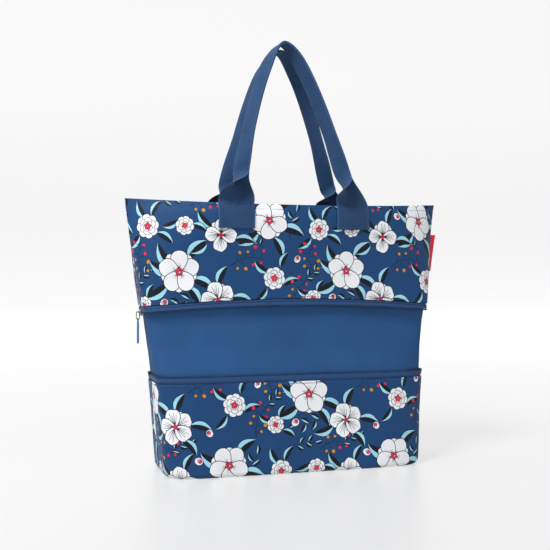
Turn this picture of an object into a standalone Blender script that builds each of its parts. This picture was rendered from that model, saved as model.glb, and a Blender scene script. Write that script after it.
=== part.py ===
"""Zip-expandable tote bag, free standing, open at the top, shown expanded.

Two printed cloth sections, lower and upper, are joined all round by an unprinted expansion
band. Each section carries one half of a separating zip: with the zip closed, the band folds
away inside and the bag is shorter. Two webbing handles are sewn to the upper section.

Frame: origin on the resting face under the middle of the base, +Z up, the front at -Y, the
side seams at -X and +X. Metres. The bag's cloth is one width at every height, so each
horizontal section is worked out from its width, its roundness and that fixed wrap.
"""
import functools
import math

import bmesh
import bpy
import numpy as np
from mathutils import Vector

# Cloth body
BODY_HEIGHT = 0.390      # resting face to the hem, at the middle of the front
HALF_WRAP = 0.506        # cloth width of the front, side seam to side seam
LOWER_TOP = 0.132        # top edge of the lower section
UPPER_BOTTOM = 0.252     # bottom edge of the upper section, at the middle
WALL = 0.0020            # outer cloth with its padding and lining
GAP = 0.0003             # clearance between sewn pieces
BASE_EDGE = 0.008        # radius along the bottom edge
BASE_TURN = 0.014        # how far the lower panels turn in under the bag
BOARD = 0.0025           # stiffener plate thickness
COLUMNS = 29             # points across one half of the wrap

# Height at the middle, half width, roundness of the faces, roundness of the sides, and how far
# the side seams hang below the middle.
STATIONS = (
    (0.000, 0.1950, 8.0, 6.0, 0.000),
    (LOWER_TOP, 0.2065, 6.0, 7.0, 0.000),
    (UPPER_BOTTOM, 0.2235, 5.0, 7.0, 0.010),
    (BODY_HEIGHT, 0.2465, 2.0, 1.0, -0.008),
)

# Separating zip round the bag
TAPE_SHOW = 0.0090       # tape between the section's edge and the coil
TAPE_LAP = 0.0060        # tape sewn behind the section's edge
TAPE = 0.0009
TAPE_INSETS = (0.0008, 0.0005)  # of the shown tape: just past the section's edge, at the coil
COIL_HIGH = 0.0022
COIL_THICK = 0.0020
BAND_INSET = 0.0043      # outer face of the expansion band, inside the sections' outer face
BAND = 0.0010
COIL_BREAK = (0.0220, 0.0360)   # stretch behind the left seam where the zip starts and ends
PIN_SIZE = (0.0124, 0.0020)     # insertion pin, length along the tape and thickness
RETAINER_SIZE = (0.0096, 0.0026)
RETAINER_HANG = 0.0025          # the retainer box reaches below its coil by this much

# Hem, seams and label
FACING_DEPTH = 0.028
FACING = 0.0012
BINDING_DEPTH = 0.008
BINDING_HALF = 0.0010
BINDING_SPACE = 0.0020   # between a binding's end and the piece above or below it
FACING_STEP = 0.0005     # the facing's top edge lies this far below the hem
LABEL_OUT = 0.009
LABEL_BOTTOM = 0.297
LABEL_TOP = 0.348
LABEL_HALF = 0.0005

# Handles
HANDLE_X = 0.0900        # tab centre to the middle of the bag
HANDLE_SWAY = -0.0100    # the soft arch's point stands a little to the left
TAB_WIDTH = 0.053
TAB_DROP = 0.036
TAB = 0.0022
STRAP_WIDTH = 0.025
STRAP_THICK = 0.0040
FLARE_HEIGHT = 0.055     # webbing opens from strap width to tab width over this height
FRONT_HANDLE_RISE = 0.243
BACK_HANDLE_RISE = 0.235
HANDLE_POINT = 1.65      # shape of the arch: 2 is a parabola, 1 is a pointed gable
APEX_SETBACK = 0.0118    # apex centreline to the bag's middle plane
# Each handle makes half a turn on its way. Start and end as shares of its length, and degrees.
TWISTS = ((0.02, 0.22, 46.0), (0.34, 0.64, 78.0), (0.78, 0.98, 56.0))
STRAP_STATIONS = 43
HINGE_LIFT = 0.0012      # folding line above the hem
HEM_STEP = 0.020         # half the length over which the hem's direction is taken

# Zip slider and its pull, on the left side seam
SLIDER_LONG = 0.0130
SLIDER_HIGH = 0.0090
PLATE = 0.0009
CHANNEL_FLOOR = 0.0008   # between the coil and the wall that joins the slider's plates
SLIDER_PLAY = 0.0004
BAIL_REACH = 0.0028      # outer plate to the bail bar's centre
BAIL_HALF = 0.0036
BAIL_BAR = 0.0006
LINK_INNER = 0.0016
LINK_WIRE = 0.0006
LINK_LONG = 0.0078       # between the two ends' centres
GRIP_LONG = 0.0370
GRIP_HALF_WIDE = 0.0033
GRIP_HALF_THICK = 0.0014
EYE_HALF_THICK = 0.0010
EYE_WALL = 0.0009        # rubber above the eye's hole
EYE_PLAY = 0.0004


def clear_scene():
    for item in list(bpy.data.objects):
        bpy.data.objects.remove(item, do_unlink=True)


@functools.lru_cache(maxsize=None)
def material(name, color, roughness, metallic):
    """A Principled material, made once and shared by pieces of the same stuff."""
    made = bpy.data.materials.new(name)
    made.use_nodes = True
    shader = made.node_tree.nodes["Principled BSDF"]
    shader.inputs["Base Color"].default_value = (*color, 1.0)
    shader.inputs["Roughness"].default_value = roughness
    shader.inputs["Metallic"].default_value = metallic
    return made


def print_cloth():
    return material("print_cloth", (0.019, 0.062, 0.165), 0.75, 0.0)


def band_cloth():
    return material("band_cloth", (0.024, 0.076, 0.191), 0.80, 0.0)


def webbing():
    return material("webbing", (0.026, 0.067, 0.150), 0.85, 0.0)


def inside_cloth():
    return material("inside_cloth", (0.015, 0.030, 0.070), 0.85, 0.0)


def coil_plastic():
    return material("coil_plastic", (0.012, 0.020, 0.040), 0.45, 0.0)


def stiff_board():
    return material("stiff_board", (0.020, 0.022, 0.028), 0.60, 0.0)


def zip_metal():
    return material("zip_metal", (0.35, 0.35, 0.36), 0.30, 1.0)


def grip_rubber():
    return material("grip_rubber", (0.048, 0.140, 0.319), 0.55, 0.0)


def label_weave():
    return material("label_weave", (0.80, 0.02, 0.04), 0.70, 0.0)


# The cloth's shape ------------------------------------------------------------------------

def outline(half_width, half_depth, face, side, turn):
    """Front half of a horizontal section, left to right, for turn from 0 to pi."""
    cosine, sine = np.cos(turn), np.sin(turn)
    x = -half_width * np.sign(cosine) * np.abs(cosine) ** (2.0 / face)
    y = -half_depth * np.abs(sine) ** (2.0 / side)
    return x, y


@functools.lru_cache(maxsize=None)
def section(height):
    """Half width, half depth, roundness of faces and sides, seam drop, and column turns."""
    heights = [station[0] for station in STATIONS]
    half_width, face, log_side, drop = (
        float(np.interp(height, heights, values)) for values in (
            [station[1] for station in STATIONS],
            [station[2] for station in STATIONS],
            [math.log(station[3]) for station in STATIONS],
            [station[4] for station in STATIONS]))
    side = math.exp(log_side)
    quarter = math.pi / 2 * np.linspace(0.0, 1.0, 601) ** 3
    turn = np.concatenate([quarter, math.pi - quarter[-2::-1]])
    shallow, deep = 0.0, HALF_WRAP / 2
    for _ in range(40):
        half_depth = (shallow + deep) / 2
        x, y = outline(half_width, half_depth, face, side, turn)
        run = np.concatenate([[0.0], np.cumsum(np.hypot(np.diff(x), np.diff(y)))])
        if run[-1] > HALF_WRAP:
            deep = half_depth
        else:
            shallow = half_depth
    even = np.linspace(0.0, 1.0, COLUMNS)
    crowded = (1.0 - np.cos(math.pi * even)) / 2
    turns = np.interp((even + crowded) / 2 * run[-1], run, turn)
    return half_width, half_depth, face, side, drop, turns


def place(height, inset, x, y):
    """Points at a height, with the side seams' droop added."""
    half_width, _, _, _, drop, _ = section(height)
    z = height - drop * (x / (half_width - inset)) ** 2
    return np.stack([x, y, z], axis=-1)


def half_row(height, inset, back):
    """Cloth points from seam to seam, clear of the seam plane: left to right along the front,
    right to left along the back, the same way round as a full ring."""
    half_width, half_depth, face, side, _, turns = section(height)
    x, y = outline(half_width - inset, half_depth - inset, face, side, turns)
    y = np.minimum(y, -GAP / 2)
    if back:
        return place(height, inset, x, -y)[::-1]
    return place(height, inset, x, y)


def ring_row(height, inset):
    """Cloth points all the way round, from the left seam over the front and back again."""
    half_width, half_depth, face, side, _, turns = section(height)
    x, y = outline(half_width - inset, half_depth - inset, face, side, turns)
    y[0] = y[-1] = 0.0
    loop_x = np.concatenate([x, x[-2:0:-1]])
    loop_y = np.concatenate([y, -y[-2:0:-1]])
    return place(height, inset, loop_x, loop_y)


def depth_at(height, inset, x):
    """Distance of the cloth from the middle plane at one x."""
    half_width, half_depth, face, side, _, _ = section(height)
    left_over = 1.0 - abs(x / (half_width - inset)) ** face
    return (half_depth - inset) * left_over ** (1.0 / side)


def reach_at(height, inset, y):
    """Distance of the side from the middle at one y."""
    half_width, half_depth, face, side, _, _ = section(height)
    left_over = 1.0 - abs(y / (half_depth - inset)) ** side
    return (half_width - inset) * left_over ** (1.0 / face)


# Mesh making ------------------------------------------------------------------------------

def finish(name, mesh, finish_material, origin=(0.0, 0.0, 0.0), smooth=35):
    """Turn a bmesh in world coordinates into an object with its origin where it is wanted."""
    bmesh.ops.recalc_face_normals(mesh, faces=mesh.faces)
    bmesh.ops.translate(mesh, verts=mesh.verts, vec=-Vector(origin))
    data = bpy.data.meshes.new(name)
    mesh.to_mesh(data)
    mesh.free()
    data.shade_smooth()
    data.set_sharp_from_angle(angle=math.radians(smooth))
    data.materials.append(finish_material)
    item = bpy.data.objects.new(name, data)
    item.location = origin
    bpy.context.collection.objects.link(item)
    return item


def sweep(loops, closed):
    """Skin a row of equal point loops; an open row gets an end cap at each end.

    Each patch is split from its lower near corner to its upper far corner, so that nested
    cloth faces are folded the same way and keep their distance.
    """
    mesh = bmesh.new()
    rows = [[mesh.verts.new(point) for point in loop] for loop in loops]
    pairs = list(zip(rows, rows[1:]))
    if closed:
        pairs.append((rows[-1], rows[0]))
    for near, far in pairs:
        for index in range(len(near)):
            after = (index + 1) % len(near)
            if near[index].co.z > near[after].co.z:
                mesh.faces.new((near[index], near[after], far[index]))
                mesh.faces.new((near[after], far[after], far[index]))
            else:
                mesh.faces.new((near[index], near[after], far[after]))
                mesh.faces.new((near[index], far[after], far[index]))
    if not closed:
        mesh.faces.new(rows[0])
        mesh.faces.new(rows[-1])
    return mesh


def half_shell(name, profile, back, finish_material):
    """A cloth panel from seam to seam; profile is its cross-section as (height, inset)."""
    rows = [half_row(height, inset, back) for height, inset in profile]
    loops = np.stack(rows, axis=1)
    return finish(name, sweep(loops, closed=False), finish_material)


def full_ring(name, profile, finish_material):
    rows = [ring_row(height, inset) for height, inset in profile]
    loops = np.stack(rows, axis=1)
    return finish(name, sweep(loops, closed=True), finish_material)


def plate_between(name, inset, bottom, top, finish_material):
    """A flat plate that fills the section at the base."""
    half_width, half_depth, face, side, _, turns = section(0.0)
    x, y = outline(half_width - inset, half_depth - inset, face, side, turns)
    rim_x = np.concatenate([x, x[-2:0:-1]])
    rim_y = np.concatenate([y, -y[-2:0:-1]])
    rim_y[0] = rim_y[len(x) - 1] = 0.0
    loops = [np.stack([rim_x, rim_y, np.full_like(rim_x, level)], axis=-1)
             for level in (bottom, top)]
    return finish(name, sweep(loops, closed=False), finish_material)


def box(low, high):
    """A bmesh box between two corners."""
    corners = [(low[0], low[1]), (high[0], low[1]), (high[0], high[1]), (low[0], high[1])]
    return sweep([[(x, y, z) for x, y in corners] for z in (low[2], high[2])], closed=False)


def hide_helper(item):
    item.hide_render = True
    item.display_type = "WIRE"


def combine(item, other, operation):
    hide_helper(other)
    modifier = item.modifiers.new(operation.lower(), "BOOLEAN")
    modifier.operation = operation
    modifier.object = other
    modifier.solver = "EXACT"


# Lower section ----------------------------------------------------------------------------

def wall_profile(heights, inset=0.0, thick=WALL):
    """Straight-walled cross-section through the given heights."""
    outer = [(height, inset) for height in heights]
    inner = [(height, inset + thick) for height in reversed(heights)]
    return outer + inner


def lower_panel_profile():
    """Wall with a rounded bottom edge that turns in under the bag."""
    angles = [math.radians(angle) for angle in (90, 60, 30, 0)]
    outer_arc = [(BASE_EDGE * (1 - math.sin(a)), BASE_EDGE * (1 - math.cos(a))) for a in angles]
    inner_radius = BASE_EDGE - WALL
    inner_arc = [(BASE_EDGE - inner_radius * math.sin(a), BASE_EDGE - inner_radius * math.cos(a))
                 for a in reversed(angles)]
    walls = [0.045, 0.090, LOWER_TOP - TAPE_LAP, LOWER_TOP]
    outer = [(0.0, BASE_TURN)] + outer_arc + [(height, 0.0) for height in walls]
    inner = [(height, WALL) for height in reversed(walls)] + inner_arc + [(WALL, BASE_TURN)]
    return outer + inner


def lower_section():
    for name, back in (("lower_front_panel", False), ("lower_back_panel", True)):
        half_shell(name, lower_panel_profile(), back, print_cloth())
    plate_between("base_panel", BASE_TURN + GAP, 0.0, WALL, print_cloth())
    board_bottom = WALL + GAP
    plate_between("base_board", BASE_EDGE + GAP, board_bottom, board_bottom + BOARD, stiff_board())
    lowest = board_bottom + BOARD + 2 * BINDING_SPACE
    highest = LOWER_TOP - TAPE_LAP - BINDING_SPACE
    for name, sign in (("lower_left_seam_binding", -1), ("lower_right_seam_binding", 1)):
        seam_binding(name, sign, lowest, highest, steps=3)


def seam_binding(name, sign, lowest, highest, steps):
    """A folded tape that covers the raw edges of one side seam, on the inside."""
    loops = []
    for height in np.linspace(lowest, highest, steps):
        height = float(height)
        outer = reach_at(height, WALL + GAP, BINDING_HALF + GAP) - GAP
        level = height - section(height)[4]
        loops.append([(sign * x, y, level) for x, y in (
            (outer, -BINDING_HALF), (outer - BINDING_DEPTH, -BINDING_HALF),
            (outer - BINDING_DEPTH, BINDING_HALF), (outer, BINDING_HALF))])
    finish(name, sweep(loops, closed=False), inside_cloth())


# Zip and expansion band -------------------------------------------------------------------

def tape_profile(edge, way):
    """Tape cross-section: sewn behind the section's edge, then out in line with its face."""
    lap = edge - way * TAPE_LAP
    step = edge + way * TAPE_SHOW / 3
    end = edge + way * TAPE_SHOW
    hidden = WALL + GAP
    line = [(lap, hidden), (edge, hidden), (step, TAPE_INSETS[0]), (end, TAPE_INSETS[1])]
    return line + [(height, inset + TAPE) for height, inset in reversed(line)]


def coil_loops(low, high):
    """Coil cross-sections round the bag, with a break behind the left seam."""
    profile = ((low, 0.0), (high, 0.0), (high, COIL_THICK), (low, COIL_THICK))
    loops = np.stack([ring_row(height, inset) for height, inset in profile], axis=1)
    middle = loops.mean(axis=1)
    steps = np.linalg.norm(np.diff(np.vstack([middle, middle[:1]]), axis=0), axis=1)
    run = np.concatenate([[0.0], np.cumsum(steps)])
    around = np.concatenate([loops, loops[:1]])
    finish_at, start_at = run[-1] - COIL_BREAK[0], run[-1] - COIL_BREAK[1]
    inside = [value for value in run[:-1] if value < start_at]
    lead_in = [value for value in run if value > finish_at]
    stops = [finish_at] + lead_in[:-1] + inside + [start_at]
    loops = []
    for stop in stops:
        loops.append([[np.interp(stop, run, around[:, corner, axis]) for axis in range(3)]
                      for corner in range(4)])
    return loops


def zip_half(prefix, edge, way):
    """One tape with its coil: way is +1 where the tape stands up from the edge, -1 hanging."""
    full_ring(prefix + "_zip_tape", tape_profile(edge, way), band_cloth())
    near = edge + way * (TAPE_SHOW + GAP)
    far = near + way * COIL_HIGH
    mesh = sweep(coil_loops(min(near, far), max(near, far)), closed=False)
    finish(prefix + "_zip_coil", mesh, coil_plastic())


def zip_end_piece(name, edge, way, size, hang):
    """A moulded block on a tape's edge in the coil's break, turned to follow the tape."""
    length, thick = size
    level = edge + way * (TAPE_SHOW + GAP + COIL_HIGH / 2)
    ring = ring_row(level, COIL_THICK / 2)
    reach = (COIL_BREAK[0] + COIL_BREAK[1]) / 2
    points = np.vstack([ring[:1], ring[:COLUMNS - 2:-1]])
    run = np.concatenate([[0.0], np.cumsum(np.linalg.norm(np.diff(points, axis=0), axis=1))])
    start, end = (Vector([np.interp(reach + shift, run, points[:, axis]) for axis in range(3)])
                  for shift in (-length / 2, length / 2))
    outwards = (end - start).cross(Vector((0, 0, 1))).normalized() * (thick / 2)
    down = Vector((0, 0, -COIL_HIGH / 2 - hang))
    up = Vector((0, 0, COIL_HIGH / 2))
    loops = [[point - outwards + down, point + outwards + down,
              point + outwards + up, point - outwards + up] for point in (start, end)]
    finish(name, sweep(loops, closed=False), coil_plastic())


def expansion_zip():
    zip_half("lower", LOWER_TOP, 1)
    zip_half("upper", UPPER_BOTTOM, -1)
    zip_end_piece("zip_insertion_pin", LOWER_TOP, 1, PIN_SIZE, 0.0)
    zip_end_piece("zip_retainer_box", UPPER_BOTTOM, -1, RETAINER_SIZE, RETAINER_HANG)
    heights = [LOWER_TOP - TAPE_LAP, 0.158, 0.190, 0.222, UPPER_BOTTOM + TAPE_LAP]
    for name, back in (("expansion_band_front", False), ("expansion_band_back", True)):
        half_shell(name, wall_profile(heights, BAND_INSET, BAND), back, band_cloth())


# Upper section ----------------------------------------------------------------------------

def tab_heights():
    """Levels shared by the hem's pieces, so that they stay nested where the cloth curves."""
    return [BODY_HEIGHT - drop for drop in (TAB_DROP, FACING_DEPTH, TAB_DROP / 2, 0.0)]


def upper_section():
    heights = [UPPER_BOTTOM, UPPER_BOTTOM + TAPE_LAP, 0.275, 0.300, 0.330] + tab_heights()
    facing_heights = tab_heights()[1:-1] + [BODY_HEIGHT - FACING_STEP]
    for end, back in (("front", False), ("back", True)):
        half_shell(f"upper_{end}_panel", wall_profile(heights), back, print_cloth())
        facing = wall_profile(facing_heights, WALL + GAP, FACING)
        half_shell(f"top_facing_{end}", facing, back, inside_cloth())
    lowest = UPPER_BOTTOM + TAPE_LAP + BINDING_SPACE
    highest = BODY_HEIGHT - FACING_DEPTH - BINDING_SPACE
    for name, sign in (("upper_left_seam_binding", -1), ("upper_right_seam_binding", 1)):
        seam_binding(name, sign, lowest, highest, steps=7)
    side_label()


def side_label():
    """A folded ribbon caught in the right side seam; it carries no lettering."""
    loops = []
    for height in (LABEL_BOTTOM, LABEL_TOP):
        half_width, _, _, _, drop, _ = section(height)
        inner = half_width + GAP
        outer = half_width + LABEL_OUT
        loops.append([(inner, -LABEL_HALF, height - drop), (outer, -LABEL_HALF, height - drop),
                      (outer, LABEL_HALF, height - drop), (inner, LABEL_HALF, height - drop)])
    finish("side_label", sweep(loops, closed=False), label_weave())


# Handles ----------------------------------------------------------------------------------

def hem_point(x, back):
    """The hem's outer edge at one x, at the height where the handle leaves the bag."""
    half_width, _, _, _, drop, _ = section(BODY_HEIGHT)
    y = depth_at(BODY_HEIGHT, -GAP - TAB / 2, x)
    return Vector((x, y if back else -y, BODY_HEIGHT - drop * (x / half_width) ** 2))


def hinge_point(back):
    """A handle folds about a line just outside its tabs, level with the hem."""
    inner_edge = HANDLE_X - TAB_WIDTH / 2
    y = depth_at(BODY_HEIGHT, -GAP - TAB, inner_edge) + GAP
    return Vector((0.0, y if back else -y, BODY_HEIGHT + HINGE_LIFT))


def handle_tab(name, centre, back):
    """The flattened webbing end, sewn to the outside of the upper panel."""
    facing = 1 if back else -1
    heights = tab_heights()
    loops = []
    for x in np.linspace(centre - TAB_WIDTH / 2, centre + TAB_WIDTH / 2, 6):
        x = float(x)
        outer = [(height, -GAP - TAB) for height in heights]
        inner = [(height, -GAP) for height in reversed(heights)]
        loops.append([(x, facing * depth_at(height, inset, x),
                       height - section(height)[4] * (x / section(height)[0]) ** 2)
                      for height, inset in outer + inner])
    return finish(name, sweep(loops, closed=False), webbing())


def twist_at(share):
    """Angle that the strap has turned through, from its left tab, at a share of its length."""
    turned = 0.0
    for start, end, degrees in TWISTS:
        along = min(max((share - start) / (end - start), 0.0), 1.0)
        turned += degrees * along * along * (3.0 - 2.0 * along)
    return math.radians(turned)


def strap_loops(rise, back):
    """Rectangular sections along the handle, from the left tab over the arch to the right tab."""
    facing = 1.0 if back else -1.0
    dense = np.linspace(-1.0, 1.0, 4001)
    lift = rise * (1.0 - np.abs(dense) ** HANDLE_POINT)
    span = HANDLE_X * dense + HANDLE_SWAY * lift / rise
    run = np.concatenate([[0.0], np.cumsum(np.hypot(np.diff(span), np.diff(lift)))])
    stops = np.linspace(0.0, run[-1], STRAP_STATIONS)
    xs, lifts = np.interp(stops, run, span), np.interp(stops, run, lift)
    foot = hem_point(HANDLE_X, back)
    loops = []
    for index, (x, up) in enumerate(zip(xs, lifts)):
        before, after = max(index - 1, 0), min(index + 1, STRAP_STATIONS - 1)
        tangent = Vector((xs[after] - xs[before], 0.0, lifts[after] - lifts[before])).normalized()
        arch_in = Vector((tangent.z, 0.0, -tangent.x))
        twist = twist_at(stops[index] / run[-1])
        twisted = arch_in * math.cos(twist) + Vector((0.0, -math.sin(twist), 0.0))
        side = -1.0 if index < STRAP_STATIONS // 2 else 1.0
        hem_across = (hem_point(side * HANDLE_X + HEM_STEP, back)
                      - hem_point(side * HANDLE_X - HEM_STEP, back)).normalized()
        hem_face = hem_across.cross(Vector((0.0, 0.0, -side))).normalized()
        opened = 0.5 + 0.5 * math.cos(math.pi * min(up / FLARE_HEIGHT, 1.0))
        across = twisted.lerp(hem_across, opened).normalized()
        face = twisted.cross(tangent).lerp(hem_face, opened).normalized()
        half_width = (STRAP_WIDTH + (TAB_WIDTH - STRAP_WIDTH) * opened) / 2
        half_thick = (STRAP_THICK + (TAB - STRAP_THICK) * opened) / 2
        y = foot.y + (facing * APEX_SETBACK - foot.y) * up / rise
        centre = Vector((x, y, foot.z + 2 * GAP + up))
        loops.append([centre + across * (half_width * a) + face * (half_thick * f)
                      for a, f in ((-1, -1), (1, -1), (1, 1), (-1, 1))])
    return loops


def handles():
    for end, back, rise in (("front", False, FRONT_HANDLE_RISE), ("back", True, BACK_HANDLE_RISE)):
        for hand, centre in (("left", -HANDLE_X), ("right", HANDLE_X)):
            handle_tab(f"{end}_{hand}_handle_tab", centre, back)
        strap = sweep(strap_loops(rise, back), closed=False)
        finish(f"{end}_handle_strap", strap, webbing(), hinge_point(back))


# Zip slider and pull ----------------------------------------------------------------------

def coil_at_left():
    """Outer face and middle height of the upper coil at the left side seam."""
    level = UPPER_BOTTOM - TAPE_SHOW - GAP - COIL_HIGH / 2
    half_width, _, _, _, drop, _ = section(level)
    return -half_width, level - drop


def bail_bar_centre():
    face, level = coil_at_left()
    return Vector((face - SLIDER_PLAY - PLATE - BAIL_REACH, 0.0, level - 0.0005))


def zip_slider():
    """Two plates joined below the coil, with a bail bridge on the outer one."""
    face, level = coil_at_left()
    outer = face - SLIDER_PLAY
    inner = face + COIL_THICK + SLIDER_PLAY
    bottom = level - SLIDER_HIGH * 0.52
    top = level + SLIDER_HIGH * 0.48
    floor = level - COIL_HIGH / 2 - CHANNEL_FLOOR
    channel = ((outer - PLATE, bottom), (inner + PLATE, bottom), (inner + PLATE, top), (inner, top),
               (inner, floor), (outer, floor), (outer, top), (outer - PLATE, top))
    half = SLIDER_LONG / 2
    mesh = sweep([[(x, y, z) for x, z in channel] for y in (-half, half)], closed=False)
    slider = finish("zip_slider", mesh, zip_metal())
    centre = bail_bar_centre()
    plate = outer - PLATE * 0.5
    step = BAIL_BAR
    arch = ((plate, -BAIL_HALF - step), (centre.x - step, -BAIL_HALF - step),
            (centre.x - step, BAIL_HALF + step), (plate, BAIL_HALF + step),
            (plate, BAIL_HALF - step), (centre.x + step, BAIL_HALF - step),
            (centre.x + step, -BAIL_HALF + step), (plate, -BAIL_HALF + step))
    bridge = sweep([[(x, y, centre.z + lift) for x, y in arch] for lift in (-step, step)],
                   closed=False)
    combine(slider, finish("bail_helper", bridge, zip_metal()), "UNION")


def pull_link():
    """A long wire ring that hangs from the bail bar and turns about it."""
    top = bail_bar_centre()
    bottom = top - Vector((0.0, 0.0, LINK_LONG))
    middle_radius = LINK_INNER + LINK_WIRE
    loops = []
    for centre, start in ((top, 0.0), (bottom, math.pi)):
        for step in range(7):
            angle = start + math.pi * step / 6
            out = Vector((math.cos(angle), 0.0, math.sin(angle)))
            middle = centre + out * middle_radius
            across = Vector((0.0, LINK_WIRE, 0.0))
            loops.append([middle - out * LINK_WIRE - across, middle + out * LINK_WIRE - across,
                          middle + out * LINK_WIRE + across, middle - out * LINK_WIRE + across])
    finish("pull_link", sweep(loops, closed=True), zip_metal(), top)


def grip_pivot():
    return bail_bar_centre() - Vector((0.0, 0.0, LINK_LONG + LINK_INNER + LINK_WIRE))


def pull_grip():
    """A flat rubber grip with a thin eye that hangs on the ring."""
    pivot = grip_pivot()
    eye_radius = LINK_WIRE * math.sqrt(2) + EYE_PLAY
    top = eye_radius + EYE_WALL
    end = top - GRIP_LONG
    full = GRIP_HALF_THICK
    # Level, half width and half thickness, from the eye down to the rounded tip.
    stations = ((top, 0.0014, EYE_HALF_THICK), (top - 0.0006, 0.0022, EYE_HALF_THICK),
                (-eye_radius - 0.0008, 0.0024, EYE_HALF_THICK), (-0.0042, 0.0029, full),
                (-0.0090, GRIP_HALF_WIDE, full), (end + 0.0035, GRIP_HALF_WIDE, full),
                (end + 0.0012, 0.0026, full * 0.9), (end, 0.0012, full * 0.6))
    loops = []
    for level, wide, thick in stations:
        bevel = thick * 0.5
        corner = ((thick, wide - bevel), (thick - bevel, wide))
        right = [(-x, y) for x, y in corner] + [(x, y) for x, y in reversed(corner)]
        ring = right + [(x, -y) for x, y in reversed(right)]
        loops.append([pivot + Vector((x, y, level)) for x, y in ring])
    grip = finish("pull_grip", sweep(loops, closed=False), grip_rubber(), pivot)
    rim = [(eye_radius * math.cos(a), eye_radius * math.sin(a))
           for a in (2 * math.pi * step / 12 for step in range(12))]
    drill = sweep([[pivot + Vector((x, y, z)) for y, z in rim] for x in (-0.004, 0.004)], closed=False)
    combine(grip, finish("eye_drill", drill, grip_rubber()), "DIFFERENCE")


clear_scene()
lower_section()
expansion_zip()
upper_section()
handles()
zip_slider()
pull_link()
pull_grip()
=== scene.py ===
"""Looks of the zip-expandable tote bag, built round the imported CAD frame.

The cloth follows the same rule as the CAD solids: every horizontal section of the bag is worked
out from its half width, its roundness and a fixed width of cloth. Each printed panel is one
closed shell whose flower pattern is cut into its mesh, in flat cloth coordinates: s runs along
the cloth from the left side seam to the right one, u runs up the cloth. Metres throughout; the
drawing of the flowers is in millimetres.
"""
import math

import bmesh
import bpy
import numpy as np
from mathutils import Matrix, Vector
from mathutils.geometry import delaunay_2d_cdt


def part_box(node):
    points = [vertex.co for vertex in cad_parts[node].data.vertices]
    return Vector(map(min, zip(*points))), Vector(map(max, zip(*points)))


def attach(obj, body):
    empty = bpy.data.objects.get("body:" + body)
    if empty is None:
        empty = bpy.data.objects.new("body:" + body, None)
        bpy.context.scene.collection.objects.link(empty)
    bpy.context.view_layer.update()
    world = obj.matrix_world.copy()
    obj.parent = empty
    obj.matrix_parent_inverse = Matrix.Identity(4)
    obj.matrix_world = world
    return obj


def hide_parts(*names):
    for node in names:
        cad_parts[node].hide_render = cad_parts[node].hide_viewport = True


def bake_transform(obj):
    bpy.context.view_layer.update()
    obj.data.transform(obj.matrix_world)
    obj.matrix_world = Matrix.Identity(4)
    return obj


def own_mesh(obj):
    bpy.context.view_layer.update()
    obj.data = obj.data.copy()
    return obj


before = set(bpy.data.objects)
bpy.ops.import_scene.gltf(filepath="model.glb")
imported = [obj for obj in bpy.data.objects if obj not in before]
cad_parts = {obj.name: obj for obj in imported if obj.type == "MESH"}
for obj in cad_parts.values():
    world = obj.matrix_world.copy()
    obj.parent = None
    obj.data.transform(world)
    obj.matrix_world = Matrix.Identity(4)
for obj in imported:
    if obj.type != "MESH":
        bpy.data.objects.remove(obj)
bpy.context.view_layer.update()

# The cloth body, as in the CAD model
BODY_HEIGHT = 0.390
HALF_WRAP = 0.506
LOWER_TOP = 0.132
UPPER_BOTTOM = 0.252
WALL = 0.0020
GAP = 0.0003
BASE_EDGE = 0.008
BASE_TURN = 0.014
STATIONS = (   # height, half width, roundness of faces, roundness of sides, seam droop
    (0.000, 0.1950, 8.0, 6.0, 0.000),
    (LOWER_TOP, 0.2065, 6.0, 7.0, 0.000),
    (UPPER_BOTTOM, 0.2235, 5.0, 7.0, 0.010),
    (BODY_HEIGHT, 0.2465, 2.0, 1.0, -0.008),
)
TAPE_SHOW = 0.0090
TAPE_LAP = 0.0060
TAPE = 0.0009
COIL_HIGH = 0.0022
COIL_THICK = 0.0020
COIL_BREAK = 0.0360      # where the coil stops short of coming round to the left seam again
BAND_INSET = 0.0043
BAND = 0.0010
FACING_DEPTH = 0.028
FACING = 0.0012
BINDING_DEPTH = 0.008

# Handles, as in the CAD model
HANDLE_X = 0.0900
HANDLE_SWAY = -0.0100
TAB_WIDTH = 0.053
TAB_DROP = 0.036
TAB = 0.0022
STRAP_WIDTH = 0.025
FLARE_HEIGHT = {"front": 0.055, "back": 0.036}
HANDLE_RISE = {"front": 0.243, "back": 0.235}
HANDLE_POINT = 1.65
APEX_SETBACK = 0.0118
TWISTS = ((0.02, 0.22, 56.0), (0.39, 0.58, 68.0), (0.78, 0.98, 56.0))

# Fine detail that only the looks have
EDGE_ROUND = 0.0013      # rounding of a folded cloth edge
HEM_STITCH = 0.0075      # topstitching below the hem
SEAM_STITCH = 0.0030     # topstitching beside the zip
STITCH_PITCH = 0.0036
STITCH_LONG = 0.0028
THREAD = 0.00032         # thread radius
WEB_HALF_THICK = 0.00095

# Camera: distance, turn and aim that show the bag as it is usually shown, from its front left
CAMERA_TURN = math.radians(16.49)
CAMERA_DISTANCE = 1.3986
CAMERA_AIM = Vector((-0.01855, 0.0, 0.28669))
CAMERA_LENS = 60.4


def srgb(red, green, blue):
    """A colour given as 0 to 255 screen values, in the linear values that shaders take."""
    values = np.array([red, green, blue], float) / 255.0
    linear = np.where(values <= 0.04045, values / 12.92, ((values + 0.055) / 1.055) ** 2.4)
    return tuple(float(value) for value in linear)


INK = {
    "ground": srgb(22, 64, 110),
    "white": srgb(226, 228, 232),
    "dark": srgb(16, 20, 30),
    "leaf": srgb(150, 204, 224),
    "red": srgb(214, 42, 80),
    "ochre": srgb(190, 134, 48),
    "inside": srgb(26, 40, 66),
}


# The cloth's shape ------------------------------------------------------------------------

TABLE_HEIGHTS = np.linspace(0.0, BODY_HEIGHT, 157)
TABLE_RUNS = np.linspace(0.0, HALF_WRAP, 507)


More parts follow.
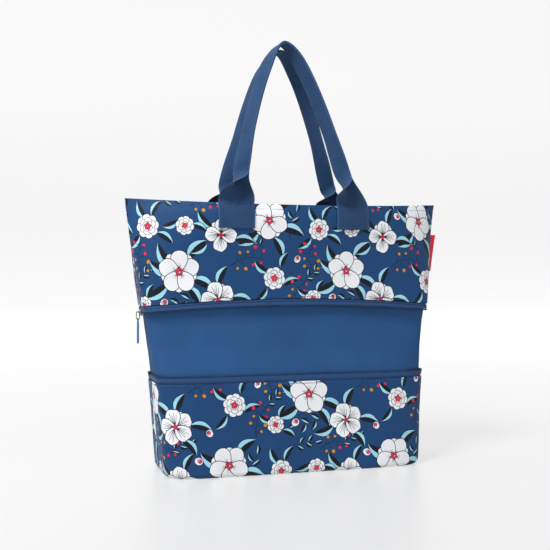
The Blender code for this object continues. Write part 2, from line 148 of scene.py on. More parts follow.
def section_row(height):
    """Half width, half depth, droop, and the outline's two shape factors at each table run."""
    levels, widths, faces, sides, drops = zip(*STATIONS)
    half_width, face, log_side, drop = (
        float(np.interp(height, levels, values))
        for values in (widths, faces, [math.log(side) for side in sides], drops))
    side = math.exp(log_side)
    quarter = math.pi / 2 * np.linspace(0.0, 1.0, 1201) ** 3
    turn = np.concatenate([quarter, math.pi - quarter[-2::-1]])
    across = -np.sign(np.cos(turn)) * np.abs(np.cos(turn)) ** (2.0 / face)
    deep_shape = -np.abs(np.sin(turn)) ** (2.0 / side)
    shallow, deep = 0.0, HALF_WRAP / 2
    for _ in range(34):
        half_depth = (shallow + deep) / 2
        steps = np.hypot(np.diff(across) * half_width, np.diff(deep_shape) * half_depth)
        if steps.sum() > HALF_WRAP:
            deep = half_depth
        else:
            shallow = half_depth
    run = np.concatenate([[0.0], np.cumsum(steps)]) * (HALF_WRAP / steps.sum())
    return (half_width, half_depth, drop, face, side,
            np.interp(TABLE_RUNS, run, across), np.interp(TABLE_RUNS, run, deep_shape))


ROWS = [section_row(float(height)) for height in TABLE_HEIGHTS]
HALF_WIDTHS, HALF_DEPTHS, DROPS, FACES, SIDES, ACROSS, DEEP = (np.array(column) for column in zip(*ROWS))


def between(values, height):
    return np.interp(height, TABLE_HEIGHTS, values)


def look_up(table, height, run):
    """Bilinear value of a table over height and run."""
    row = np.clip(height / BODY_HEIGHT, 0, 1) * (len(TABLE_HEIGHTS) - 1)
    column = np.clip(run / HALF_WRAP, 0, 1) * (len(TABLE_RUNS) - 1)
    low = np.minimum(row.astype(int), len(TABLE_HEIGHTS) - 2)
    left = np.minimum(column.astype(int), len(TABLE_RUNS) - 2)
    up, over = row - low, column - left
    near = table[low, left] * (1 - over) + table[low, left + 1] * over
    far = table[low + 1, left] * (1 - over) + table[low + 1, left + 1] * over
    return near * (1 - up) + far * up


def cloth(run, height, inset, back, dip=0.0):
    """Points of the cloth at runs and heights, moved in from its outer face by inset.

    dip draws the face in further, towards the middle plane only.
    """
    run, height, inset = np.broadcast_arrays(run, height, inset)
    across = look_up(ACROSS, height, run)
    deep = look_up(DEEP, height, run)
    x = (between(HALF_WIDTHS, height) - inset) * across
    y = np.minimum((between(HALF_DEPTHS, height) - inset - dip) * deep, -GAP / 2)
    z = height - between(DROPS, height) * across ** 2
    return np.stack([x, -y if back else y, z], axis=-1)


def depth_at(height, inset, x):
    """Distance of the cloth from the middle plane at some x."""
    height, x = np.broadcast_arrays(np.asarray(height, float), np.asarray(x, float))
    reach = between(HALF_WIDTHS, height) - inset
    left_over = 1.0 - np.abs(x / reach) ** between(FACES, height)
    return (between(HALF_DEPTHS, height) - inset) * left_over ** (1.0 / between(SIDES, height))


def smooth(value, start=0.0, end=1.0):
    along = np.clip((np.asarray(value, float) - start) / (end - start), 0.0, 1.0)
    return along * along * (3.0 - 2.0 * along)


def sampled(at, run, points):
    """Points along a line, at distances measured on the same scale as run."""
    return np.stack([np.interp(at, run, points[:, axis]) for axis in range(3)], axis=1)


def slack(run, height, phase):
    """Gentle unevenness of loosely held cloth, in metres, outwards."""
    broad = np.sin(run * 31 + phase) * np.sin(height * 38 + 1.3 * phase)
    medium = np.sin(run * 74 - height * 55 + 2.1 * phase)
    fine = np.sin(run * 160 + height * 95 + 0.7 * phase) * np.sin(height * 120 + phase)
    return 0.00075 * broad + 0.00032 * medium + 0.00014 * fine


# Mesh making ------------------------------------------------------------------------------

def make_object(name, verts, faces, material, uvs=None, colors=None, normals=None, smooth_shade=True):
    """An object from numpy arrays; uvs are per vertex, colors per face."""
    data = bpy.data.meshes.new(name)
    data.from_pydata(np.asarray(verts, float).tolist(), [], [list(face) for face in faces])
    data.polygons.foreach_set("use_smooth", np.full(len(data.polygons), smooth_shade))
    loop_verts = np.zeros(len(data.loops), int)
    data.loops.foreach_get("vertex_index", loop_verts)
    if uvs is not None:
        layer = data.uv_layers.new(name="cloth")
        layer.data.foreach_set("uv", np.asarray(uvs, float)[loop_verts].ravel())
    if colors is not None:
        counts = np.zeros(len(data.polygons), int)
        data.polygons.foreach_get("loop_total", counts)
        attribute = data.color_attributes.new("ink", "FLOAT_COLOR", "CORNER")
        rgba = np.concatenate([np.asarray(colors, float), np.ones((len(colors), 1))], axis=1)
        attribute.data.foreach_set("color", np.repeat(rgba, counts, axis=0).ravel())
    data.materials.append(material)
    data.validate(clean_customdata=False)
    if normals is not None:
        data.normals_split_custom_set_from_vertices(np.asarray(normals, float).tolist())
    data.update()
    item = bpy.data.objects.new(name, data)
    bpy.context.scene.collection.objects.link(item)
    return item


def settle(item, body, slot, *nodes):
    """Give a piece its body and hide the CAD nodes that it stands for; slot is not used."""
    if body:
        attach(item, body)
    if nodes:
        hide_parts(*nodes)
    return item


def grid_faces(rows, columns, closed_rows=False, closed_columns=False, flip=False, start=0):
    """Quads over a grid of vertices numbered row by row."""
    faces = []
    for row in range(rows if closed_rows else rows - 1):
        after = (row + 1) % rows
        for column in range(columns if closed_columns else columns - 1):
            right = (column + 1) % columns
            quad = (row * columns + column, row * columns + right,
                    after * columns + right, after * columns + column)
            quad = quad[::-1] if flip else quad
            faces.append(tuple(start + index for index in quad))
    return faces


def ribbon_caps(vert_count, ring):
    """Quads that close both ends of a ribbon whose rings run up one face and back down the other."""
    caps = []
    for start, flip in ((0, True), (vert_count - ring, False)):
        for index in range(ring // 2 - 1):
            quad = (start + index, start + index + 1, start + ring - 2 - index, start + ring - 1 - index)
            caps.append(quad[::-1] if flip else quad)
    return caps


def turn_faces_out(item):
    bm = bmesh.new()
    bm.from_mesh(item.data)
    bmesh.ops.recalc_face_normals(bm, faces=bm.faces)
    bm.to_mesh(item.data)
    bm.free()


def tube(points, radius, sides):
    """Vertices and faces of a round tube along points."""
    points = np.asarray(points, float)
    count = len(points)
    tangents = np.gradient(points, axis=0)
    tangents /= np.linalg.norm(tangents, axis=1, keepdims=True)
    normal = np.cross(tangents[0], [0.0, 0.0, 1.0])
    if np.linalg.norm(normal) < 1e-6:
        normal = np.cross(tangents[0], [0.0, 1.0, 0.0])
    normals = []
    for tangent in tangents:
        normal = normal - tangent * np.dot(normal, tangent)
        normal /= np.linalg.norm(normal)
        normals.append(normal)
    normals = np.array(normals)
    others = np.cross(tangents, normals)
    angles = np.arange(sides) * 2 * math.pi / sides
    ring = (normals[:, None, :] * np.cos(angles)[None, :, None]
            + others[:, None, :] * np.sin(angles)[None, :, None])
    verts = (points[:, None, :] + ring * radius).reshape(-1, 3)
    faces = grid_faces(count, sides, closed_columns=True)
    faces.append(tuple(range(sides))[::-1])
    faces.append(tuple(range((count - 1) * sides, count * sides)))
    return verts, faces


def beads(name, centres, directions, outs, material):
    """Short rounded stitches, one at each centre."""
    sides, long, radius = 6, STITCH_LONG, THREAD
    stations = ((-1.0, 0.25), (-0.8, 0.85), (-0.3, 1.0), (0.3, 1.0), (0.8, 0.85), (1.0, 0.25))
    centres, directions, outs = (np.asarray(value, float) for value in (centres, directions, outs))
    directions = directions / np.linalg.norm(directions, axis=1, keepdims=True)
    sideways = np.cross(directions, outs)
    sideways /= np.linalg.norm(sideways, axis=1, keepdims=True)
    outs = np.cross(sideways, directions)
    rings = []
    for along, wide in stations:
        sink = -0.5 * radius * along ** 2
        for step in range(sides):
            angle = 2 * math.pi * step / sides
            rings.append(centres + directions * (along * long / 2)
                         + outs * (radius * wide * math.sin(angle) * 0.8 + sink)
                         + sideways * (radius * wide * math.cos(angle)))
    verts = np.stack(rings, axis=1)
    size = len(stations) * sides
    template = grid_faces(len(stations), sides, closed_columns=True)
    template += [tuple(range(sides))[::-1], tuple(range(size - sides, size))]
    faces = [tuple(index + size * copy for index in face)
             for copy in range(len(centres)) for face in template]
    item = make_object(name, verts.reshape(-1, 3), faces, material)
    turn_faces_out(item)
    return item


# Drawing the flowers, in millimetres ------------------------------------------------------

def turned(points, angle, at=(0.0, 0.0)):
    points = np.asarray(points, float)
    cosine, sine = math.cos(angle), math.sin(angle)
    return points @ np.array([[cosine, sine], [-sine, cosine]]) + np.asarray(at, float)


def grown(points, distance):
    """A closed outline moved outwards by a distance."""
    ahead = np.roll(points, -1, axis=0) - np.roll(points, 1, axis=0)
    outward = np.stack([ahead[:, 1], -ahead[:, 0]], axis=1)
    outward /= np.maximum(np.linalg.norm(outward, axis=1, keepdims=True), 1e-9)
    area = np.sum(points[:, 0] * np.roll(points[:, 1], -1) - np.roll(points[:, 0], -1) * points[:, 1])
    return points + outward * distance * (1.0 if area > 0 else -1.0)


def petal(length, width, tip=0.0, wobble=0.0):
    """A petal that starts at the origin and points along +X."""
    angle = np.linspace(0.0, 2 * math.pi, 18, endpoint=False)
    along = (1.0 - np.cos(angle)) / 2
    x = length * along + tip * np.exp(-((angle - math.pi) / 0.42) ** 2)
    y = width / 2 * np.sin(angle) * along ** 0.30 * 1.12
    x = x + wobble * np.sin(5 * angle) * along
    return np.stack([x, y], axis=1)


def stroke(points, thick, thin=None):
    """A pen stroke along points, from thick to thin."""
    points = np.asarray(points, float)
    ends = np.gradient(points, axis=0)
    normals = np.stack([-ends[:, 1], ends[:, 0]], axis=1)
    normals /= np.maximum(np.linalg.norm(normals, axis=1, keepdims=True), 1e-9)
    widths = np.linspace(thick, thick if thin is None else thin, len(points))[:, None] / 2
    return np.concatenate([points + normals * widths, (points - normals * widths)[::-1]])


def bow(start, end, sag, count=7):
    """A curved line between two points."""
    start, end = np.asarray(start, float), np.asarray(end, float)
    along = np.linspace(0.0, 1.0, count)[:, None]
    across = np.array([-(end - start)[1], (end - start)[0]])
    return start + (end - start) * along + across * (sag * 4 * along * (1 - along))


def inked(shape, color, line=1.0):
    return [(grown(shape, line), "dark"), (shape, color)]


def leaf(length, width, curve=0.12):
    """A pointed leaf along +X, one half light and the other dark."""
    along = np.linspace(0.0, 1.0, 9)
    belly = width / 2 * np.sin(math.pi * along ** 0.85) ** 0.9
    spine = 4 * curve * length * along * (1 - along)
    upper = np.stack([along * length, spine + belly], axis=1)
    lower = np.stack([along * length, spine - belly], axis=1)[::-1]
    middle = np.stack([along * length, spine], axis=1)
    whole = np.concatenate([upper, lower[1:-1]])
    light = np.concatenate([upper - [0, 0.2], middle[::-1][1:-1] + [0, 0.5]])
    return [(grown(whole, 0.65), "dark"), (light, "leaf")]


def blossom(radius, petals=5, turn=0.3):
    """An open flower: a ring of petals behind, a ring in front, red stamens."""
    shapes = []
    for ring, (reach, wide, shift) in enumerate(((0.90, 0.66, 0.5), (0.97, 0.86, 0.0))):
        for number in range(petals):
            angle = turn + 2 * math.pi * (number + shift) / petals
            form = petal(radius * reach, radius * wide, tip=radius * 0.05 * ((number + ring) % 2))
            shapes += inked(turned(form, angle), "white")
    for number in range(petals):
        angle = turn + 2 * math.pi * number / petals
        for off in (-0.22, 0.0, 0.22):
            reach = radius * (0.34 + 0.05 * (off == 0.0))
            line = bow((radius * 0.16, 0.0), (reach, off * radius * 0.5), 0.0, 3)
            shapes.append((stroke(turned(line, angle), 0.95, 0.4), "dark"))
    for number in range(7):
        angle = turn + 2 * math.pi * number / 7
        at = (radius * 0.13 * math.cos(angle), radius * 0.13 * math.sin(angle))
        shapes += inked(turned(disc(radius * 0.062), angle, at=at), "red", 0.45)
    return shapes


def disc(radius, count=10, squeeze=1.0):
    angle = np.arange(count) * 2 * math.pi / count
    return np.stack([radius * np.cos(angle), radius * squeeze * np.sin(angle)], axis=1)


def striped_flower(radius, petals=6, turn=0.1):
    """A ruffled flower whose petals carry fine creases."""
    shapes = []
    for number in range(petals):
        angle = turn + 2 * math.pi * (number + 0.5) / petals
        shapes += inked(turned(petal(radius * 0.88, radius * 0.62, wobble=radius * 0.03), angle), "white")
    for number in range(petals - 1):
        angle = turn + 2 * math.pi * number / (petals - 1)
        shapes += inked(turned(petal(radius, radius * 0.92, wobble=radius * 0.035), angle), "white")
        for off, reach in ((-0.5, 0.62), (-0.24, 0.80), (0.04, 0.70), (0.30, 0.82), (0.52, 0.58)):
            foot, tip = (radius * 0.14, off * radius * 0.08), (radius * reach, off * radius * 0.46)
            line = bow(foot, tip, 0.05 * off, 5)
            shapes.append((stroke(turned(line, angle), 1.0, 0.45), "dark"))
    for number in range(5):
        angle = 2 * math.pi * number / 5
        at = (radius * 0.085 * math.cos(angle), radius * 0.085 * math.sin(angle))
        shapes += inked(turned(disc(radius * 0.06), 0.0, at=at), "red", 0.4)
    return shapes


def layered_rose(radius, turn=0.0):
    """A small many-layered rose of overlapping scallops."""
    shapes = []
    for count, reach, size in ((8, 0.72, 0.34), (6, 0.46, 0.30), (4, 0.24, 0.24)):
        for number in range(count):
            angle = turn + 2 * math.pi * (number + 0.37 * count) / count
            at = (radius * reach * math.cos(angle), radius * reach * math.sin(angle))
            scallop = turned(disc(radius * size, 11, 0.82), angle + math.pi / 2, at=at)
            shapes += inked(scallop, "white", 0.6)
    for number in range(5):
        angle = turn + 2 * math.pi * number / 5
        at = (radius * 0.20 * math.cos(angle), radius * 0.20 * math.sin(angle))
        shapes += inked(turned(disc(radius * 0.12, 8), 0.0, at=at), "red", 0.45)
    shapes.append((disc(radius * 0.07, 7), "ochre"))
    return shapes


def bud(radius):
    shapes = inked(disc(radius, 12, 0.86), "white", 0.7)
    shapes += inked(turned(disc(radius * 0.5, 9), 0.0, at=(radius * 0.28, 0.1 * radius)), "red", 0.4)
    shapes += inked(turned(disc(radius * 0.24, 7), 0.0, at=(-radius * 0.2, radius * 0.25)), "leaf", 0.3)
    return shapes


def berry_sprig(length):
    """A thin forked stem with berries, ochre near its foot and red near its tip."""
    spine = bow((0, 0), (length, 0), 0.16, 10)
    shapes = [(stroke(spine, 0.9, 0.5), "dark")]
    for number in range(8):
        foot = spine[1 + number]
        side = 1.0 if number % 2 else -1.0
        tip = foot + np.array([length * 0.09, side * length * (0.15 + 0.06 * (number % 3))])
        shapes.append((stroke(bow(foot, tip, 0.10 * side, 4), 0.7, 0.5), "dark"))
        color = "ochre" if number < 4 else "red"
        shapes += inked(turned(disc(1.9 + 0.35 * (number % 3), 8, 1.15), 0.4 * number, at=tip), color, 0.45)
    return shapes


def leafy_sprig(length):
    """A stem with small paired leaves."""
    spine = bow((0, 0), (length, 0), 0.12, 9)
    shapes = [(stroke(spine, 1.0, 0.6), "dark")]
    for number, index in enumerate((2, 3, 5, 6, 8)):
        side = 1.0 if number % 2 else -1.0
        angle = side * 0.75 if index < 8 else 0.1
        shapes += place_shapes(leaf(length * 0.34, length * 0.13, 0.10 * side), spine[index], angle)
    return shapes


def place_shapes(shapes, at, angle):
    return [(turned(points, angle, at), ink) for points, ink in shapes]


def one_repeat():
    """One repeat of the print: stems first, then leaves, then the flowers over them."""
    shapes = []
    for x, y, angle, length in (
            (96, 30, 196, 44), (236, 104, 78, 42), (44, 150, 12, 36), (196, 92, 120, 30), (6, 40, 40, 34),
            (118, 148, 30, 34)):
        shapes += place_shapes(leafy_sprig(length), (x, y), math.radians(angle))
    for x, y, angle, length, width in (
            (66, 58, 155, 40, 15), (62, 66, 122, 38, 14), (84, 76, 44, 38, 15), (90, 50, -28, 38, 14),
            (56, 44, 205, 38, 14), (84, 40, -58, 34, 13), (196, 132, 150, 39, 15), (214, 146, 34, 36, 14),
            (220, 122, -18, 39, 15), (188, 116, 212, 37, 14), (210, 108, -64, 34, 13),
            (128, 40, 62, 30, 12), (148, 22, -16, 34, 12), (108, 12, 196, 32, 12), (140, 2, -52, 28, 11),
            (24, 130, 118, 27, 10), (40, 112, -32, 28, 10), (16, 108, 216, 27, 10), (32, 134, 56, 25, 9),
            (226, 38, 18, 27, 10), (204, 56, 140, 28, 10), (222, 64, 62, 25, 9), (202, 34, 226, 26, 9),
            (118, 120, 130, 30, 11), (152, 104, -8, 31, 12), (112, 98, 208, 28, 10), (140, 128, 60, 27, 10),
            (14, 22, 150, 22, 8), (30, 10, -30, 22, 8), (26, 28, 60, 20, 8),
            (70, 128, 200, 24, 9), (90, 124, -24, 24, 9)):
        shapes += place_shapes(leaf(length, width), (x, y), math.radians(angle))
    for x, y, angle, length in ((24, 52, 96, 50), (146, 66, 8, 54), (86, 148, 6, 48), (244, 2, 66, 48)):
        shapes += place_shapes(berry_sprig(length), (x, y), math.radians(angle))
    for flower, x, y, turn in (
            (bud(6.0), 50, 20, 0.6), (bud(5.4), 176, 10, 2.2), (bud(5.8), 160, 140, -0.4),
            (bud(5.4), 248, 76, 1.1),
            (striped_flower(25), 128, 20, 0.5), (layered_rose(16), 27, 120, 0.2),
            (layered_rose(16.5, 0.5), 213, 48, 0.9), (layered_rose(12.5, 0.2), 20, 18, 0.3),
            (layered_rose(13, 0.9), 80, 122, 1.3), (striped_flower(23, 5), 132, 110, 1.4),
            (blossom(29), 72, 60, 0.0), (blossom(28, 5, 0.9), 203, 132, 0.0)):
        shapes += place_shapes(flower, (x, y), turn)
    return shapes


REPEAT = (253.0, 168.0)
REPEAT_SHAPES = one_repeat()


def printed(width, height, shift):
    """The repeat laid over a panel, in metres, with only what reaches the panel."""
    chosen = []
    for column in range(-2, 3):
        for row in range(-2, 3):
            corner = np.array([column * REPEAT[0] + shift[0], row * REPEAT[1] + shift[1]])
            for points, ink in REPEAT_SHAPES:
                outline = (points + corner) / 1000
                low, high = outline.min(0), outline.max(0)
                if high[0] > 0 and high[1] > 0 and low[0] < width and low[1] < height:
                    chosen.append((outline, ink))
    return chosen


# Cloth shells -----------------------------------------------------------------------------

NEAR_EDGE = np.array([0.0, 0.00012, 0.00045, 0.0013, 0.0030, 0.0055])
PANEL_SPACING = 0.0042   # mesh spacing of the printed panels
PLAIN_SPACING = 0.0055   # and of the expansion band


def lattice(length, spacing, extra=()):
    """Positions across a cloth: close together at both edges, even between."""
    inner = np.linspace(NEAR_EDGE[-1], length - NEAR_EDGE[-1],
                        max(3, int(round((length - 2 * NEAR_EDGE[-1]) / spacing)) + 1))
    crowded = np.concatenate([NEAR_EDGE[:-1], length - NEAR_EDGE[:-1]])
    kept = [value for value in inner if all(abs(value - other) > 0.0006 for other in extra)]
    return np.unique(np.round(np.concatenate([crowded, kept, list(extra)]), 7))


def inside_outline(points, outline):
    """Which points lie inside a closed outline."""
    ahead = np.roll(outline, -1, axis=0)
    (x, y), (x0, y0), (x1, y1) = points.T[:, :, None], outline.T[:, None, :], ahead.T[:, None, :]
    crosses = (y0 > y) != (y1 > y)
    rise = np.where(y1 == y0, 1.0, y1 - y0)
    left = x < x0 + (x1 - x0) * (y - y0) / rise
    return (crosses & left).sum(axis=1) % 2 == 1


def triangulate(width, height, spacing, shapes, extra_rows):
    """Flat triangles of a cloth with shapes cut into it: points, triangles, ink names."""
    columns = lattice(width, spacing)
    rows = lattice(height, spacing, extra_rows)
    scale = 1000.0
    points = [(x * scale, y * scale) for y in rows for x in columns]
    across, up = len(columns), len(rows)
    border = NEAR_EDGE[-1] + 1e-6
    edges = []
    for row, y in enumerate(rows):
        if min(y, height - y) < border or any(abs(y - extra) < 0.0012 for extra in extra_rows):
            edges += [(row * across + column, row * across + column + 1) for column in range(across - 1)]
    for column, x in enumerate(columns):
        if min(x, width - x) < border:
            edges += [(row * across + column, (row + 1) * across + column) for row in range(up - 1)]
    for outline, _ in shapes:
        start, size = len(points), len(outline)
        points += [(x * scale, y * scale) for x, y in outline]
        edges += [(start + index, start + (index + 1) % size) for index in range(size)]
    result = delaunay_2d_cdt([Vector(point) for point in points], edges, [], 0, 1e-4, False)
    flat = np.array([tuple(vert) for vert in result[0]]) / scale
    triangles = np.array([tuple(face) for face in result[2]])
    centres = flat[triangles].mean(axis=1)
    within = ((centres > 0) & (centres < [width, height])).all(axis=1)
    triangles, centres = triangles[within], centres[within]
    order = np.argsort(centres[:, 0])
    triangles, centres = triangles[order], centres[order]
    names = ["ground"] + sorted({ink for _, ink in shapes})
    chosen = np.zeros(len(triangles), int)
    for outline, ink in shapes:
        first, last = np.searchsorted(centres[:, 0], [outline[:, 0].min(), outline[:, 0].max()])
        near = centres[first:last]
        chosen[first:last][inside_outline(near, outline)] = names.index(ink)
    used = np.unique(triangles)
    lookup = np.full(len(flat), -1)
    lookup[used] = np.arange(len(used))
    return flat[used], lookup[triangles], [names[index] for index in chosen]


def shell(width, height, spacing, shapes, path, thick, back, phase, rows=(), limp=1.0, puckers=(),
          sink=None):
    """A closed cloth shell. path(u) gives height and inset of the outer face; puckers are rows
    where stitching draws the cloth in. Returns vertices, faces, inks, uvs and normals."""
    flat, triangles, inks = triangulate(width, height, spacing, shapes, rows)

    def surface(s, u, side):
        s, u = np.clip(s, 0.0, width), np.clip(u, 0.0, height)
        edge = np.minimum(np.minimum(s, width - s), np.minimum(u, height - u))
        rounding = np.sqrt(1.0 - (1.0 - np.clip(edge / EDGE_ROUND, 0.02, 1.0)) ** 2)
        level, inset = path(u)
        calm = smooth(edge, 0.0, 0.020)
        wave = slack(s, level, phase) * limp * (0.25 + 0.75 * calm)
        for row in puckers:
            near = np.exp(-((u - row) / 0.0016) ** 2)
            wide = np.exp(-((u - row) / 0.0070) ** 2)
            gather = 0.00016 * np.sin(s * 2 * math.pi / 0.0082 + phase)
            gather = gather + 0.00012 * np.sin(s * 2 * math.pi / 0.0131 + 2 * phase)
            wave = wave - 0.00034 * near + gather * wide * calm
        dip = sink(u) if sink else 0.0
        return cloth(s, level, inset + thick / 2 - side * thick / 2 * rounding - wave, back, dip)

    step = 0.0004
    s, u = flat[:, 0], flat[:, 1]
    sides, normals = [], []
    for side in (1.0, -1.0):
        sides.append(surface(s, u, side))
        normal = np.cross(surface(s + step, u, side) - surface(s - step, u, side),
                          surface(s, u + step, side) - surface(s, u - step, side))
        normal /= np.maximum(np.linalg.norm(normal, axis=1, keepdims=True), 1e-12)
        normals.append(normal * side * (-1.0 if back else 1.0))
    count = len(flat)
    outer = triangles[:, ::-1] if back else triangles
    inner = triangles + count if back else triangles[:, ::-1] + count
    directed = {edge: True for triangle in outer.tolist()
                for edge in zip(triangle, triangle[1:] + triangle[:1])}
    rim = [(end, start, start + count, end + count) for start, end in directed
           if (end, start) not in directed]
    faces = outer.tolist() + inner.tolist() + rim
    inks = inks + ["inside"] * len(inner) + ["ground"] * len(rim)
    uvs = np.concatenate([flat, flat + [0.0, 1.0]])
    return np.concatenate(sides), faces, inks, uvs, np.concatenate(normals)


def shell_object(name, part, material, plain=False):
    verts, faces, inks, uvs, normals = part
    colors = None if plain else [INK[ink] for ink in inks]
    return make_object(name, verts, faces, material, uvs, colors, normals)


# Materials --------------------------------------------------------------------------------

class Nodes:
    """Short forms for building one material's nodes."""

    def __init__(self, name, roughness, sheen=0.0, sheen_roughness=0.5, metallic=0.0, specular=0.5):
        self.material = bpy.data.materials.new(name)
        self.material.use_nodes = True
        self.tree = self.material.node_tree
        self.shader = self.tree.nodes["Principled BSDF"]
        self.shader.inputs["Roughness"].default_value = roughness
        self.shader.inputs["Metallic"].default_value = metallic
        self.shader.inputs["Specular IOR Level"].default_value = specular
        self.shader.inputs["Sheen Weight"].default_value = sheen
        self.shader.inputs["Sheen Roughness"].default_value = sheen_roughness

    def add(self, kind, inputs=(), **settings):
        node = self.tree.nodes.new(kind)
        for key, value in settings.items():
            setattr(node, key, value)
        for key, value in dict(inputs).items():
            if hasattr(value, "is_output"):
                self.tree.links.new(value, node.inputs[key])
            else:
                node.inputs[key].default_value = value
        return node.outputs[0]

    def math(self, operation, first, second=0.0, third=None):
        inputs = {0: first, 1: second}
        if third is not None:
            inputs[2] = third
        return self.add("ShaderNodeMath", inputs, operation=operation)

    def noise(self, vector, scale, detail=2.0, roughness=0.5):
        return self.add("ShaderNodeTexNoise", {"Vector": vector, "Scale": scale, "Detail": detail,
                                               "Roughness": roughness})

    def remap(self, value, low, high, to_low, to_high):
        return self.add("ShaderNodeMapRange", {"Value": value, 1: low, 2: high, 3: to_low, 4: to_high})

    def mix(self, share, first, second, blend="MIX"):
        node = self.tree.nodes.new("ShaderNodeMix")
        node.data_type = "RGBA"
        node.blend_type = blend
        for index, value in ((0, share), (6, first), (7, second)):
            if hasattr(value, "is_output"):
                self.tree.links.new(value, node.inputs[index])
            elif index == 0:
                node.inputs[index].default_value = value
            else:
                node.inputs[index].default_value = (*value, 1.0)
        return node.outputs[2]

    def set(self, name, value):
        self.tree.links.new(value, self.shader.inputs[name])

    def bump(self, height, strength, distance):
        self.set("Normal", self.add("ShaderNodeBump", {"Height": height, "Strength": strength,
                                                       "Distance": distance}))

    def coordinates(self, kind="UV"):
        if kind == "UV":
            return self.add("ShaderNodeUVMap", uv_map="cloth")
        node = self.tree.nodes.new("ShaderNodeTexCoord")
        return node.outputs[kind]

    def split(self, vector):
        return self.add("ShaderNodeSeparateXYZ", {0: vector}).node.outputs

    def wave(self, value, pitch):
        """A smooth ripple of one pitch, from 0 to 1."""
        turn = self.math("MULTIPLY", value, 2 * math.pi / pitch)
        return self.math("MULTIPLY_ADD", self.math("SINE", turn), 0.5, 0.5)


def plain_weave(nodes, vector, pitch):
    """Height of over-and-under threads."""
    warp, weft = (nodes.wave(axis, pitch) for axis in nodes.split(vector)[:2])
    one = nodes.math("MULTIPLY", warp, weft)
    other = nodes.math("MULTIPLY", nodes.math("SUBTRACT", 1.0, warp), nodes.math("SUBTRACT", 1.0, weft))
    return nodes.math("ADD", one, other)


def cloth_material(name, color=None, pitch=0.0009, sheen=0.03, roughness=0.60, grain=0.10, cloudy=0.08,
                   specular=0.20):
    """Woven polyester: colour from the mesh's ink or one colour, with grain and thread relief."""
    nodes = Nodes(name, roughness, sheen=sheen, sheen_roughness=0.45, specular=specular)
    place = nodes.coordinates("UV")
    weave = plain_weave(nodes, place, pitch)
    fleck = nodes.noise(place, 950.0, 2.0, 0.6)
    cloud = nodes.noise(nodes.coordinates("Object"), 14.0, 3.0)
    if color is None:
        base = nodes.tree.nodes.new("ShaderNodeVertexColor")
        base.layer_name = "ink"
        base = base.outputs[0]
    else:
        base = color
    shade = nodes.math("MULTIPLY", nodes.remap(fleck, 0.25, 0.75, 1.0 - grain, 1.0 + grain),
                       nodes.remap(cloud, 0.3, 0.7, 1.0 - cloudy, 1.0 + cloudy))
    shade = nodes.math("MULTIPLY", shade, nodes.remap(weave, 0.0, 1.0, 0.92, 1.05))
    gray = nodes.add("ShaderNodeCombineXYZ", {0: shade, 1: shade, 2: shade})
    scaled = nodes.add("ShaderNodeVectorMath", {0: base, 1: gray}, operation="MULTIPLY")
    nodes.set("Base Color", scaled)
    nodes.set("Roughness", nodes.remap(cloud, 0.3, 0.7, roughness - 0.07, roughness + 0.07))
    height = nodes.math("MULTIPLY_ADD", fleck, 0.5, weave)
    nodes.bump(height, 0.35, 0.00012)
    return nodes.material


def tape_material():
    """Herringbone tape: slanted threads that change direction every few millimetres, with a painted shadow: a
    thin dark line along the upper tape between the cloth edge and the coil.
    """
    nodes = Nodes("zip_tape_weave", 0.66, sheen=0.05, specular=0.25)
    place = nodes.coordinates("UV")
    along, height, _ = nodes.split(place)
    slant = nodes.math("ADD", height, nodes.math("PINGPONG", along, 0.0016))
    ripple = nodes.wave(slant, 0.0009)
    fleck = nodes.noise(place, 700.0)
    tone = nodes.math("MULTIPLY_ADD", fleck, 0.5, nodes.math("MULTIPLY", ripple, 0.5))
    base = nodes.mix(tone, srgb(20, 52, 92), srgb(40, 80, 130))
    # Painted shadow: a thin dark line is painted along the upper tape, about 3.8 mm below the cloth edge, and
    # stands for the shadow line seen between the edge and the coil.
    off = nodes.math("ABSOLUTE", nodes.math("SUBTRACT", height, UPPER_BOTTOM - TAPE_SHOW * 0.42))
    base = nodes.mix(nodes.remap(off, 0.0004, 0.0009, 0.85, 0.0), base, srgb(8, 22, 44))
    nodes.set("Base Color", base)
    nodes.set("Roughness", nodes.remap(fleck, 0.3, 0.7, 0.60, 0.72))
    nodes.bump(ripple, 0.5, 0.00016)
    return nodes.material


def webbing_material():
    """Ribbed webbing with flecked ribs, and a painted highlight: its edges are painted paler, as where they
    catch the light.
    """
    nodes = Nodes("webbing_weave", 0.80, sheen=0.10, sheen_roughness=0.5, specular=0.2)
    place = nodes.coordinates("UV")
    across, along, _ = nodes.split(place)
    ribs, picks = nodes.wave(across, 0.0021), nodes.wave(along, 0.0012)
    stretched = nodes.add("ShaderNodeMapping", {"Vector": place, "Scale": (1400.0, 260.0, 1.0)})
    fleck = nodes.noise(stretched, 1.0, 3.0, 0.65)
    cloud = nodes.noise(nodes.coordinates("Object"), 30.0, 3.0)
    # Painted highlight: the outer one to two millimetres of the webbing, along its open edges and the tab
    # sides, are painted paler, as where those edges catch the light.
    out = nodes.math("ABSOLUTE", across)
    edge = nodes.remap(out, TAB_WIDTH / 2 - 0.0022, TAB_WIDTH / 2 - 0.0010, 0.0, 1.0)
    tone = nodes.math("MULTIPLY_ADD", fleck, 0.7, nodes.math("MULTIPLY", ribs, 0.3))
    base = nodes.mix(tone, srgb(10, 32, 60), srgb(38, 72, 112))
    base = nodes.mix(nodes.remap(cloud, 0.35, 0.65, 0.0, 0.35), base, srgb(12, 36, 66))
    heather = nodes.noise(place, 420.0, 3.0, 0.7)
    base = nodes.mix(nodes.remap(heather, 0.35, 0.70, 0.0, 0.45), base, srgb(50, 86, 128))
    # The paler edge colour mixed in here is the painted highlight.
    base = nodes.mix(nodes.math("MULTIPLY", edge, 0.35), base, srgb(62, 98, 146))
    nodes.set("Base Color", base)
    nodes.set("Roughness", nodes.remap(cloud, 0.3, 0.7, 0.74, 0.86))
    relief = nodes.math("ADD", nodes.math("MULTIPLY", ribs, 0.7),
                        nodes.math("MULTIPLY_ADD", picks, 0.35, fleck))
    nodes.bump(relief, 0.55, 0.00022)
    return nodes.material


